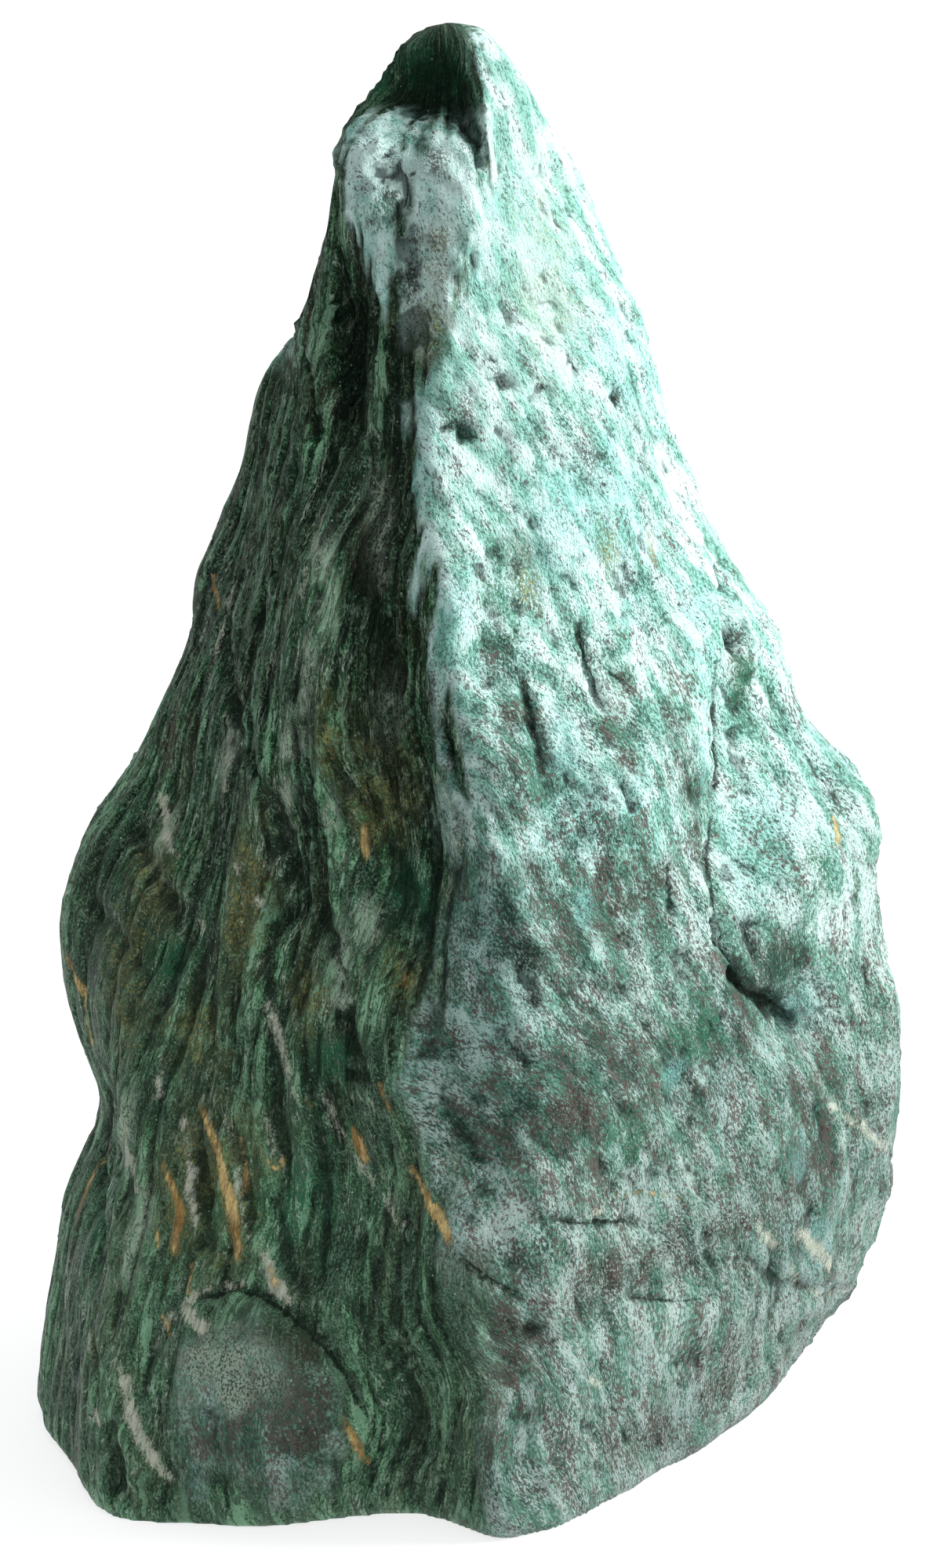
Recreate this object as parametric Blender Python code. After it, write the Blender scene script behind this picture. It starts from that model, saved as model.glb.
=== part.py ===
"""A standing specimen of fuchsite, a green mica schist: one natural stone with a sawn foot.

Run it with: blender --background --python part.py

The stone is a loft. Its edge lines, such as the front ridge and the left corner, run from the foot
to the tip, and each level of the loft is the outline through those lines at that height. Hollows
and swells are then pressed into the skin, and a seeded noise breaks the flat faces up.

Metres, +Z up. The display side faces -Y. The origin is the centre of the bounding box, at the foot.
"""

import bmesh
import bpy
import numpy as np
from mathutils import Vector, noise

MM = 0.001

# Driving sizes, in millimetres.
TIP_HEIGHT = 214.0
RIM_HEIGHT = 212.0  # the last outline of the loft, just under the tip
LEVEL_STEP = 4.0
SAWN_EDGE = (0.0, 1.2, 3.0)  # the first levels, where the sawn foot's edge is worn round
SAWN_WEAR = 1.2  # how far that edge is drawn in
ROUNDING = 0.5  # share of the way to the neighbours' mean that each pass moves a point
ROUNDING_BACK = 0.3  # share of it that is given back, so that the stone isn't shrunk
ROUNDING_PASSES = 2
UNEVENNESS = 1.1  # height of the bumps on the broken faces
BUMP_WIDTH = 16.0
BUMP_STRETCH = 2.2  # the bumps are this much longer up the stone, along its grain
BUMP_OCTAVES = 3  # each finer set of bumps is about half as wide and half as high
BUMP_SEED = (31.7, 12.3, 5.9)

# Each edge line: how many columns of faces lie between it and the next, and its points as
# (height, x, y). They are listed counter-clockwise from above, from the front ridge.
EDGE_LINES = {
    "front_ridge": (3, [
        (0, 4, -52.5), (13, 2, -52.5), (28, 0, -51), (41, -3, -48), (52, -6, -46.5),
        (65, -11, -44), (74, -15.5, -41.5), (92, -18, -37.5), (107, -23, -33.5),
        (125, -24.5, -30.5), (141, -23.5, -26.5), (147, -21.5, -24.5), (159, -15, -20),
        (177, -12, -16.5), (188, -12, -14.5), (202, -15, -10), (212, -9, -6.5),
    ]),
    "hollow_floor": (4, [
        (0, 8, -51), (28, 5, -49), (41, 2, -47.5), (65, -4, -42), (77, -6, -38),
        (88, -8, -32.5), (103, -10, -29.5), (119, -12, -25), (134, -13, -21.5),
        (145, -13, -19.5), (156, -11.5, -17), (169, -9, -16), (190, -7, -14),
        (197, -8, -13), (205, -7, -7.5), (212, -5, -5),
    ]),
    "upper_ridge": (7, [
        (0, 12.5, -48.5), (24, 11.5, -46.5), (41, 11.5, -44.5), (65, 9, -44), (89, 5.5, -41.5),
        (105, 3, -38.5), (116, 0, -35.5), (126, -4, -33), (145, -6, -26.5), (153, -8, -24),
        (165, -6, -22), (182, -3, -18), (197, 1.5, -13.5), (205, 2.5, -10.5), (212, 0, -5.5),
    ]),
    "right_face": (6, [
        (0, 30, -24), (22, 31.5, -24), (46, 32, -24), (71, 30, -25), (95, 27, -25),
        (112, 23, -23), (131, 17, -19), (151, 12, -15.5), (173, 8.5, -11.5), (196, 6.5, -8),
        (212, 1, -4),
    ]),
    "right_crack": (6, [
        (0, 42, -4), (16, 46, -4), (32, 49, -6), (53, 47, -9), (66, 44, -11), (78, 41, -10),
        (89, 37.5, -9), (103, 36, -7), (117, 36, -5), (131, 31, -4), (159, 22, -3),
        (182, 15, -3), (205, 7, -2.5), (212, 2, -2.5),
    ]),
    "right_edge": (7, [
        (0, 49.5, 26), (5, 54.5, 29), (10, 59, 29), (18, 63, 26), (32, 65.5, 24), (44, 65, 19),
        (60, 65.5, 16), (74, 62.5, 15), (89, 60.5, 15), (96, 57.5, 15), (104, 49.5, 15),
        (118, 45.5, 15), (133, 36, 14), (156, 27.5, 11), (170, 25, 9), (185, 17, 6),
        (200, 10.5, 2), (208, 6, 0), (212, 1.5, -1.5),
    ]),
    "right_back": (7, [
        (0, 37, 46), (30, 47, 45), (60, 47, 41), (100, 38, 37), (131, 25, 31), (161, 17, 23),
        (185, 9, 15), (205, 3, 6), (212, 0, 0),
    ]),
    "back_ridge": (7, [
        (0, 4, 51), (60, 2, 50), (98, 0, 44), (131, -4, 37), (161, -6, 28), (185, -6, 18),
        (205, -5, 8), (212, -4, 1),
    ]),
    "left_back": (6, [
        (0, -44, 41), (30, -48, 40), (60, -46, 37), (98, -37, 32), (131, -28, 28),
        (154, -25, 25), (162, -20, 20), (171, -17, 11), (185, -14, 9), (205, -9, 4),
        (212, -8, 0),
    ]),
    "left_edge": (6, [
        (0, -66, -2), (18, -64, 4), (27, -63, 5), (33, -62, 5), (41, -58, 5), (48, -55.5, 5),
        (56, -57.5, 5), (63, -60.5, 5), (70, -62.5, 5), (78, -62.5, 5), (85, -60.5, 5.5),
        (92, -57.5, 6), (99, -51.5, 6), (113, -46, 7), (120, -41.5, 7.5), (128, -41.5, 8),
        (135, -38.5, 8), (142, -34.5, 8.5), (149, -33, 9), (158, -32, 10), (162, -29.5, 8),
        (165, -25, 0), (174, -23.5, -6), (188, -20, -7), (195, -20.5, -7),
        (202, -18.5, -6.5), (208, -14.5, -6), (212, -10, -3.5),
    ]),
    "left_corner": (6, [
        (0, -54, -45), (15, -55.5, -39), (27, -55, -35), (38, -53, -32), (48, -51.5, -28),
        (59, -50, -24), (70, -47, -21), (93, -41, -18.5), (115, -36, -14.5), (138, -31, -10.5),
        (149, -29, -8.5), (160, -26, -6.5), (174, -23.5, -9), (188, -20, -8.5),
        (202, -18.5, -8.5), (212, -10, -5.5),
    ]),
    "left_rib": (5, [
        (0, -31, -47), (13, -31, -48), (24, -31, -49), (35, -32, -46), (45, -33, -40),
        (57, -34, -36), (70, -32, -33), (85, -31, -30.5), (98, -31, -28), (113, -30, -25.5),
        (127, -28, -22.5), (140, -26.5, -19.5), (151, -24.5, -17), (173, -22.5, -13.5),
        (185, -21, -12), (202, -18, -10), (212, -9.5, -6),
    ]),
    "front_groove": (3, [
        (0, -8, -40.5), (13, -8, -43), (28, -9, -43.5), (41, -11, -43), (52, -14, -42),
        (65, -18, -40), (85, -22, -34), (107, -26, -30.5), (125, -27, -27),
        (141, -25.5, -23), (149, -21.5, -19), (165, -17, -14), (177, -17, -13.5),
        (188, -17, -12.5), (202, -17, -10.5), (212, -9.5, -6.5),
    ]),
}

# Swells (push above 0) and hollows (below 0): centre, reach along x, y and z, and push.
SWELLS = {
    "lump_under_the_tip": ((-13, -14, 193), (8, 8, 7), 1.8),
    "notch_at_the_tip": ((-7, -9, 205), (7, 7, 5), -3.0),
    "crest_furrow": ((-17, -15, 168), (3.5, 5, 14), -2.5),
    "shoulder_furrow": ((-25, -8, 152), (3, 5, 12), -1.5),
    "front_hollow": ((-11, -26, 118), (7, 8, 24), -1.5),
    "left_face_furrow": ((-27, -30, 100), (4, 6, 18), -2.5),
    "left_face_rib": ((-33, -26, 86), (4, 6, 16), 1.5),
    "left_face_belly": ((-48, -14, 78), (9, 9, 15), 2.0),
    "left_waist": ((-53, -16, 48), (8, 12, 7), -2.0),
    "lens_ribs": ((-42, -32, 45), (5, 7, 12), 1.5),
    "ridge_foot_furrow": ((-20, -38, 62), (5, 6, 9), -2.5),
    "recess_over_the_boulder": ((-24, -42, 40), (12, 10, 6), -2.0),
    "foot_boulder": ((-30, -46, 18), (14, 10, 13), 3.0),
    "foot_cleft": ((-49, -41, 12), (3, 6, 12), -2.0),
    "right_cleft": ((38, -5, 112), (4, 5, 10), -2.5),
    "right_bulge": ((50, 0, 88), (14, 16, 14), 3.0),
    "step_under_the_bulge": ((46, -5, 64), (12, 13, 6), -2.5),
    "middle_step": ((13, -32, 112), (4, 6, 9), -1.5),
    "seam_over_the_foot": ((26, -28, 31), (22, 24, 4), -1.5),
    "back_hollow": ((14, 46, 92), (20, 14, 30), -6.0),
    "back_boss": ((-24, 38, 46), (20, 14, 24), 4.0),
    "back_shelf": ((34, 42, 20), (16, 12, 10), -3.0),
}

# Finish of the plain solid.
STONE_COLOUR = (0.16, 0.33, 0.26, 1.0)
STONE_ROUGHNESS = 0.55


def clear_scene():
    """Removes every object that the scene starts with."""
    for obj in list(bpy.data.objects):
        bpy.data.objects.remove(obj)


def level_heights():
    """Heights of the loft's outlines, close together where the sawn edge is worn."""
    first = SAWN_EDGE[-1] + LEVEL_STEP
    count = round((RIM_HEIGHT - first) / LEVEL_STEP)
    return np.concatenate([SAWN_EDGE, np.linspace(first, RIM_HEIGHT, count + 1)])


def line_point(points, height):
    """Where an edge line is at a height, as x and y."""
    heights, xs, ys = np.array(points, float).T
    return np.array([np.interp(height, heights, xs), np.interp(height, heights, ys)])


def outline(height):
    """The stone's outline at a height: straight faces from each edge line to the next."""
    corners = [line_point(points, height) for _, points in EDGE_LINES.values()]
    columns = [steps for steps, _ in EDGE_LINES.values()]
    ring = []
    for here, following, steps in zip(corners, corners[1:] + corners[:1], columns):
        share = np.arange(steps)[:, None] / steps
        ring.append(here + (following - here) * share)
    ring = np.vstack(ring)
    return np.column_stack([ring, np.full(len(ring), height)])


def averaged(skin, share):
    """The skin with each point moved by a share of the way to the mean of its neighbours."""
    around = (np.roll(skin, 1, axis=1) + np.roll(skin, -1, axis=1)) / 2
    skin = skin + (around - skin) * share
    mean = (skin[:-2] + skin[2:]) / 2
    middle = skin[1:-1] + (mean - skin[1:-1]) * share
    return np.concatenate([skin[:1], middle, skin[-1:]])


def rounded(skin):
    """Softens the ridges; each averaging is followed by a push back, so the stone keeps its size."""
    for _ in range(ROUNDING_PASSES):
        skin = averaged(averaged(skin, ROUNDING), -ROUNDING_BACK)
    return skin


def outward(skin):
    """Unit vectors that point out of the skin."""
    along = np.roll(skin, -1, axis=1) - np.roll(skin, 1, axis=1)
    upward = np.gradient(skin, axis=0)
    normals = np.cross(along, upward)
    return normals / np.linalg.norm(normals, axis=2, keepdims=True)


def swollen(skin):
    """Presses the swells and hollows into the skin, each fading with distance from its centre."""
    push = np.zeros(skin.shape[:2])
    for centre, reach, height in SWELLS.values():
        away = (skin - np.array(centre, float)) / np.array(reach, float)
        push += height * np.exp(-(away**2).sum(axis=2))
    return skin + outward(skin) * push[:, :, None]


def uneven(skin):
    """Breaks up the flat faces with bumps that are stretched along the grain."""
    push = np.zeros(skin.shape[:2])
    for place in np.ndindex(push.shape):
        x, y, z = skin[place] / BUMP_WIDTH
        spot = Vector((x, y, z / BUMP_STRETCH)) + Vector(BUMP_SEED)
        push[place] = UNEVENNESS * noise.fractal(spot, 1.0, 2.0, BUMP_OCTAVES)
    return skin + outward(skin) * push[:, :, None]


def sawn(skin):
    """Levels the outlines nearest the foot and draws them in, as a sawn edge that is worn round."""
    skin = skin.copy()
    for level, height in enumerate(SAWN_EDGE):
        away = skin[level] - skin[level].mean(axis=0)
        away[:, 2] = 0
        wear = SAWN_WEAR * (1 - height / SAWN_EDGE[-1]) ** 2
        skin[level] -= away / np.linalg.norm(away, axis=1, keepdims=True) * wear
        skin[level, :, 2] = height
    return skin


def centred(skin):
    """Moves the skin sideways, to bring the centre of the bounding box over the origin."""
    corners = skin.reshape(-1, 3)
    middle = (corners.min(axis=0) + corners.max(axis=0)) / 2
    middle[2] = 0
    return skin - middle


def stone_skin():
    """The loft's points in millimetres, one row for each level."""
    skin = np.array([outline(height) for height in level_heights()])
    return sawn(uneven(swollen(rounded(skin))))


def stone_mesh(skin):
    """A closed mesh: bands of quads between the levels, a flat foot and a pointed tip."""
    form = bmesh.new()
    rings = [[form.verts.new(Vector(point) * MM) for point in ring] for ring in skin]
    x, y, _ = skin[-1].mean(axis=0)
    tip = form.verts.new(Vector((x, y, TIP_HEIGHT)) * MM)
    columns = len(rings[0])
    for lower, upper in zip(rings, rings[1:]):
        for i in range(columns):
            j = (i + 1) % columns
            form.faces.new((lower[i], lower[j], upper[j], upper[i]))
    for i in range(columns):
        form.faces.new((rings[-1][i], rings[-1][(i + 1) % columns], tip))
    form.faces.new(reversed(rings[0]))
    bmesh.ops.triangulate(form, faces=form.faces)
    mesh = bpy.data.meshes.new("fuchsite_stone")
    form.to_mesh(mesh)
    form.free()
    mesh.shade_smooth()
    return mesh


def stone_material():
    """Pearly green mica."""
    material = bpy.data.materials.new("fuchsite")
    material.use_nodes = True
    shader = material.node_tree.nodes["Principled BSDF"]
    shader.inputs["Base Color"].default_value = STONE_COLOUR
    shader.inputs["Roughness"].default_value = STONE_ROUGHNESS
    shader.inputs["Metallic"].default_value = 0.0
    material.diffuse_color = STONE_COLOUR
    return material


def build():
    """Makes the stone, in a collection of its own."""
    clear_scene()
    collection = bpy.data.collections.new("fuchsite_specimen")
    bpy.context.scene.collection.children.link(collection)
    stone = bpy.data.objects.new("fuchsite_stone", stone_mesh(centred(stone_skin())))
    stone.data.materials.append(stone_material())
    collection.objects.link(stone)
    return stone


if __name__ == "__main__":
    build()
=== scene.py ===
"""Natural fuchsite specimen: a standing, tapered piece of green mica schist with a sawn foot.

The stone's skin starts as a copy of the CAD solid. Its ridges, cracks, ledges and pits are laid on
as strokes, then Geometry Nodes add the relief that follows the grain of the schist. The
material reads the same grain, so that fibres, flakes, bands and bumps all run one way.

Metres, +Z up. The display side faces -Y.
"""

import math
from functools import partial

import bmesh
import bpy
import numpy as np
from bpy.props import FloatProperty, FloatVectorProperty, IntProperty, PointerProperty
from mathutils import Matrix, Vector, noise
from mathutils.bvhtree import BVHTree


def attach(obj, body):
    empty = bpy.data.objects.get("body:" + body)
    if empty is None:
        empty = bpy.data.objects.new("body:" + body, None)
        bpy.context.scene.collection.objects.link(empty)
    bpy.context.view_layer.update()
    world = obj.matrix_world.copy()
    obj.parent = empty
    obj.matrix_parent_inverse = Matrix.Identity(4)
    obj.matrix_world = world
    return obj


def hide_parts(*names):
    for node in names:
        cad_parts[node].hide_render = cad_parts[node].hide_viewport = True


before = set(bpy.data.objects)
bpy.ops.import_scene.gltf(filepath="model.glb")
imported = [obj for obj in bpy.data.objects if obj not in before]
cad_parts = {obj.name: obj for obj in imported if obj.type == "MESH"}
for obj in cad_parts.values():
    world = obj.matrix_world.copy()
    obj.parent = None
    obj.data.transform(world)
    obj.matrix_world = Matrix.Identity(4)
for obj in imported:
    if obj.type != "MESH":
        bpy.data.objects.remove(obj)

bl_info = {
    "name": "Fuchsite specimen",
    "version": (1, 0, 0),
    "blender": (4, 5, 0),
    "location": "3D View > Sidebar > Fuchsite",
    "description": "Builds a natural standing stone of fuchsite mica schist and its display stage",
    "category": "Object",
}

MM = 0.001
MATH = "ShaderNodeMath"
VECTOR_MATH = "ShaderNodeVectorMath"
MAP_RANGE = "ShaderNodeMapRange"
MIX = "ShaderNodeMix"
NOISE = "ShaderNodeTexNoise"
VORONOI = "ShaderNodeTexVoronoi"
NODE = "fuchsite_stone"
BODY = "root"

# The display view. Strokes and stains are placed on an upright card that faces it: across from the
# card's middle and up from the stone's foot, in millimetres.
VIEW_DISTANCE = 1.5
VIEW_ELEVATION = math.radians(18)
VIEW_TARGET = Vector((0, 0, 0.0988))
VIEW_LENS = 235.0
CARD_MIDDLE = 111.4

# Bearings that places are seen from, in degrees round the stone from the display side.
FRONT = 0
BACK = 180
LEFT = 270

# The window stands close on the right, over the stone, and aims at its upper right face.
WINDOW_PLACE = Vector((0.50, 0.04, 0.37))
WINDOW_AIM = Vector((0.02, -0.02, 0.15))

# The sky gets brighter upwards, with the height to the power of SKY_POWER, and towards SKY_SIDE, where
# the window is. Near the floor it has a strength of SKY_LEAST.
SKY_COLOUR = (0.97, 0.99, 1.0)
SKY_SIDE = (0.8, 0.35, 0.0)
SKY_LEAST = 0.08
SKY_POWER = 2.0

# The floor is matt.
FLOOR_ROUGHNESS = 0.9

# The grain of the schist. The cleavage sheets are stacked along GRAIN_ACROSS, which is also the way
# that the broad right face looks, and the mica fibres in them run along GRAIN_ALONG.
GRAIN_ACROSS = Vector((0.73, -0.68, 0.10)).normalized()
GRAIN_ALONG = Vector((-0.30, -0.30, 1.0)).normalized()

# Broad folds that bend the grain everywhere: (width in mm, sideways swing in mm, seed).
FOLDS = ((38.0, 6.0, 11.3), (13.0, 1.3, 47.9))

# Where the sheets are cut across, their edges run up the stone like combed hair. The hair follows a
# drum of DRUM_RADIUS mm round the stone's axis, which leans from the foot's middle to the tip.
DRUM_RADIUS = 46.0
LEAST_RADIUS = 24.0  # nearer the axis the hair no longer gets finer, in mm
AXIS_TIP = Vector((-4, 2, 214))

# Folds that swing the hair sideways: (width in mm, swing in mm, seed).
SWINGS = ((30.0, 2.6, 23.1), (11.0, 0.8, 61.7))

# Bends of the hair and of the sheets' flakes: (across, up, reach, lean). A lean above 0
# tips the fibres to the right as they go up, by that many mm for each mm.
BENDS = {
    "hollow": (-10, 112, 19, -0.34),
    "hollow_head": (-13, 150, 12, 0.20),
    "belly": (-48, 92, 10, -0.30),
    "lens_field": (-38, 50, 14, -0.2),
    "emerald_field": (-14, 58, 16, -0.5),
    "foot_corner": (-6, 30, 16, -0.42),
    "boulder": (-32, 20, 12, 0.12),
    "right_swirl": (8, 80, 18, -0.18),
    "swirl_under": (7, 18, 9, 0.55),
    "bulge": (50, 92, 12, 0.30),
    "right_foot": (34, 28, 14, 0.40),
}

# Strokes on the display side: (kind, width, height, points), in mm. A groove or a ridge is a soft
# line. A crack is a sharp line whose left lip, walking along it, stands up. A ledge is a low cliff
# that fades away on its high side, which is the left one.
STROKES = {
    # The cleft and the lump under the tip.
    "tip_cleft": ("groove", 0.9, 2.4, [(-3, 211.5), (-0.5, 207.5), (1.2, 204.5), (2.5, 200.8)]),
    "lump_body": ("ridge", 3.4, 2.2, [(-16, 206), (-14.8, 200), (-13.8, 194)]),
    "lump_rim": ("crack", 0.8, 0.6, [
        (-16.7, 208), (-13.8, 204.5), (-10.3, 202), (-8.8, 199), (-9.2, 197), (-11.5, 193)]),
    "lump_pit": ("groove", 1.5, 1.3, [(-13, 202), (-11.7, 199.9)]),
    "lump_edge": ("ridge", 1.0, 0.5, [(-18.4, 207), (-17.8, 200), (-16.7, 195), (-14.4, 190.7)]),
    "band_hollow": ("groove", 1.6, 0.9, [(-11.5, 192), (-8.6, 185)]),
    "band_patch": ("groove", 3.0, 1.1, [(-10.5, 180), (-7, 177), (-3.6, 176)]),
    # The crest and the furrows under it.
    "crest": ("ridge", 1.3, 0.7, [
        (-12.1, 192), (-12.6, 178), (-14.4, 169), (-15.5, 162), (-18.4, 154)]),
    "crest_front": ("ridge", 1.2, 0.3, [
        (-19.5, 155.5), (-21.5, 152.5), (-23, 149.5), (-24.3, 143), (-24.9, 133), (-24.9, 123),
        (-24.1, 116), (-23, 108), (-20.7, 99), (-17.8, 93)]),
    "crest_low": ("ridge", 1.3, 0.2, [
        (-17.8, 93), (-17.2, 83), (-13.8, 69), (-9.2, 57.5), (-3.4, 43.6)]),
    "top_furrow": ("groove", 1.8, 1.5, [
        (-20.1, 192), (-17.2, 180), (-16.7, 171), (-17.2, 162), (-19.5, 155)]),
    "far_rib": ("ridge", 0.9, 0.6, [(-21.3, 192), (-23, 187), (-24.1, 182.7), (-25.3, 178)]),
    "shoulder_crack": ("groove", 0.9, 1.6, [(-25.3, 176), (-23.8, 170), (-23, 165), (-23, 160)]),
    "shoulder_pit": ("groove", 1.2, 1.0, [(-24.8, 168.5), (-24.6, 164.5)]),
    "hollow_strand_1": ("ridge", 0.9, 0.5, [(-21.6, 146), (-20.6, 140), (-19.5, 132), (-18, 126)]),
    "hollow_strand_2": ("groove", 1.4, 0.7, [(-15.5, 147), (-15, 139), (-12.5, 131), (-10, 122)]),
    "hollow_strand_3": ("ridge", 1.0, 0.5, [
        (-19, 124), (-16.5, 118), (-12, 111), (-8.5, 103), (-6.9, 95)]),
    "hollow_strand_4": ("groove", 1.0, 0.55, [
        (-22, 117), (-18.5, 112.5), (-13.5, 107), (-10, 99), (-8.5, 91)]),
    "hollow_strand_5": ("groove", 1.0, 0.45, [
        (-16.5, 122), (-12.5, 117.5), (-8, 111), (-5.5, 103), (-4.6, 95)]),
    "hollow_lip": ("ledge", 1.0, 1.0, [
        (-7.6, 156), (-6.2, 147), (-4.4, 140), (-4, 131), (-2.3, 123), (0, 116), (4.6, 111.4)]),
    # The left face.
    "left_rib": ("ridge", 1.8, 1.0, [
        (-24.7, 169), (-28.7, 148), (-29.3, 134), (-31, 123), (-29.9, 111), (-29.3, 100)]),
    "left_furrow": ("groove", 1.5, 1.1, [(-35.6, 137), (-36.2, 129), (-34.5, 119), (-35.6, 111)]),
    "strand_furrow": ("groove", 1.1, 1.0, [
        (-26.2, 162), (-29.3, 146), (-31.6, 134), (-33, 125), (-33.2, 117), (-29.8, 108.5),
        (-26, 101), (-24.7, 94), (-28.7, 90), (-29.9, 83), (-28.7, 73.5), (-27, 69)]),
    "ridge_furrow": ("groove", 1.3, 1.3, [
        (-25.9, 138), (-26, 125), (-25, 116), (-24, 104.5), (-22.4, 94), (-18.9, 83),
        (-18.2, 73.5), (-14.5, 66.6)]),
    "dark_recess": ("groove", 1.6, 1.5, [(-19, 79), (-17.6, 72.4), (-16.4, 66.6)]),
    "pale_strand": ("ridge", 0.8, 0.5, [(-28.1, 121), (-27.3, 114), (-27, 110), (-25.9, 105)]),
    "belly_furrow": ("groove", 2.0, 1.3, [(-50, 107), (-48.2, 102), (-46, 96.5), (-41.4, 89.6)]),
    "belly_step": ("groove", 1.4, 0.7, [(-57, 95), (-52.5, 90), (-48, 83)]),
    "low_rib": ("ridge", 1.8, 0.9, [(-40.5, 88), (-42.5, 81), (-46.5, 72), (-47.5, 66)]),
    "corner_ridge": ("ridge", 1.3, 0.9, [(-49.5, 71), (-50.9, 60), (-51.8, 48), (-52.2, 36)]),
    "corner_furrow": ("groove", 1.6, 1.0, [(-52.3, 70), (-54, 58), (-54.5, 46), (-54.8, 36)]),
    "lens_rib_1": ("ridge", 1.7, 0.9, [
        (-39.6, 64), (-37.9, 60), (-36.2, 54), (-34.5, 47), (-33.9, 40)]),
    "lens_rib_2": ("ridge", 1.4, 0.7, [(-45, 55), (-43.7, 52), (-42.7, 49), (-43.7, 43.6)]),
    "lens_groove_1": ("groove", 1.4, 1.1, [(-41.4, 61), (-39.8, 54), (-38.8, 47), (-38.5, 40)]),
    "lens_groove_2": ("groove", 1.2, 0.9, [(-35.8, 63), (-34, 57), (-32.2, 50), (-31.4, 44)]),
    "lens_nose": ("ridge", 1.6, 1.1, [(-31.5, 48), (-30.5, 43), (-28.5, 38), (-26.4, 35)]),
    "pale_rib": ("ridge", 1.2, 0.8, [(-29.9, 79), (-28.1, 73.5), (-26.5, 67.5), (-24.5, 64.5)]),
    "nose_groove": ("groove", 1.0, 0.8, [
        (-28.5, 63), (-27.5, 55), (-28, 48), (-26.5, 41), (-24, 36.5)]),
    "boulder_top": ("crack", 1.0, 0.9, [
        (-13.8, 13.8), (-15.8, 20), (-18.4, 25.3), (-22.5, 30.5), (-26.4, 33.9), (-31, 36.6),
        (-35.6, 37.3), (-40.8, 35.6), (-44, 31)]),
    "boulder_left": ("ridge", 1.1, 1.0, [(-51.9, 22), (-51.6, 16), (-49.6, 10.5), (-45.6, 5.2)]),
    "boulder_left_furrow": ("groove", 1.6, 1.2, [(-54, 20), (-53.8, 14), (-52, 8.5), (-48.5, 3.5)]),
    "foot_furrow": ("groove", 1.3, 1.0, [(-56.3, 34), (-55.4, 26), (-55.6, 16), (-56.5, 8)]),
    "foot_rib": ("ridge", 1.1, 0.6, [(-59, 33), (-58, 25), (-58.6, 16)]),
    "boulder_fold": ("groove", 2.0, 0.7, [(-41, 22), (-38, 18), (-37, 12), (-38, 6)]),
    # The front edge and the foot under it.
    "foot_edge": ("ridge", 1.6, 0.7, [(-4.6, 40), (0, 31), (2, 19.5), (0.5, 5)]),
    "foot_fibre_1": ("groove", 1.0, 0.5, [(-12.5, 52), (-8, 44), (-4.5, 34), (-2, 22), (-2.5, 8)]),
    "foot_fibre_2": ("groove", 1.0, 0.45, [(-15, 44), (-11, 34), (-8, 22), (-7, 8)]),
    "foot_fibre_3": ("ridge", 1.1, 0.6, [(-17, 52), (-13, 43), (-9.5, 33), (-6.5, 20)]),
    "foot_fibre_4": ("groove", 1.1, 0.5, [(-18, 38), (-14.5, 30), (-11.5, 20), (-10.5, 10)]),
    "front_seam": ("crack", 0.8, 0.6, [(-2.9, 44), (0.5, 40.5), (4.6, 38), (9, 36)]),
    # Cracks and steps of the right face.
    "middle_crack_1": ("crack", 0.8, 0.8, [
        (15.7, 137), (16.3, 133), (17.3, 128.8), (18.8, 125), (20.5, 121)]),
    "middle_crack_2": ("groove", 0.6, 0.4, [(18.2, 130), (20.5, 127.5), (23.5, 126)]),
    "middle_crack_3": ("crack", 1.0, 0.9, [(7, 130.5), (8.6, 124.5), (10.2, 118), (11.4, 110.5)]),
    "right_crack_1": ("groove", 1.45, 1.8, [(36.8, 144), (36.9, 137), (38.9, 129)]),
    "right_crack_2": ("crack", 1.1, 1.3, [(35.9, 126.5), (35.9, 119), (36.6, 113), (35.8, 108)]),
    "right_crack_3": ("crack", 1.0, 0.8, [(35.4, 108), (35, 100), (36.2, 90.7)]),
    "right_pocket": ("groove", 1.4, 1.8, [(35.2, 92.4), (37.6, 86)]),
    "bulge_pocket": ("groove", 2.6, 1.3, [(41, 92.5), (40.5, 89), (42.5, 85)]),
    "bulge_overhang": ("crack", 1.4, 2.0, [
        (35.4, 92.5), (36.2, 89), (38.5, 84.4), (40.8, 81.3), (44.2, 79.6), (46.8, 77.9), (48.3, 75)]),
    "bulge_slit": ("groove", 1.0, 1.0, [(39.5, 92), (41, 88.5), (42.5, 85)]),
    "middle_slit": ("groove", 0.8, 0.8, [(22, 112), (22.8, 109.5), (24.2, 106.5)]),
    "curl_rim": ("ridge", 0.8, 0.5, [(28.1, 86.5), (28.6, 83.6), (29.9, 81.4), (31.6, 80.4)]),
    "curl_hollow": ("groove", 1.6, 0.9, [(30.4, 88), (30.6, 84.6), (32, 82.6)]),
    "blade": ("ridge", 1.0, 0.9, [(37, 79), (38.8, 76.5), (40.8, 74)]),
    "curl_crack": ("crack", 0.9, 1.0, [(29.3, 100.5), (29.2, 96.5), (30.4, 92)]),
    "swirl_1": ("groove", 1.7, 0.9, [(6, 93), (6.4, 88), (7.8, 82.7), (10.8, 77)]),
    "swirl_2": ("groove", 1.2, 0.8, [(0, 85), (2.3, 78), (5.7, 72.4), (10.3, 67.7)]),
    "swirl_3": ("groove", 1.0, 0.6, [(4.6, 78), (5.9, 73.5), (9.2, 69)]),
    "swirl_4": ("groove", 1.1, 0.6, [(-5, 68), (-1.5, 61), (2, 55.5)]),
    "seam_1": ("groove", 0.8, 0.5, [(10, 47.8), (16.1, 46.9), (23, 47.3), (26.4, 46.4)]),
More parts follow.
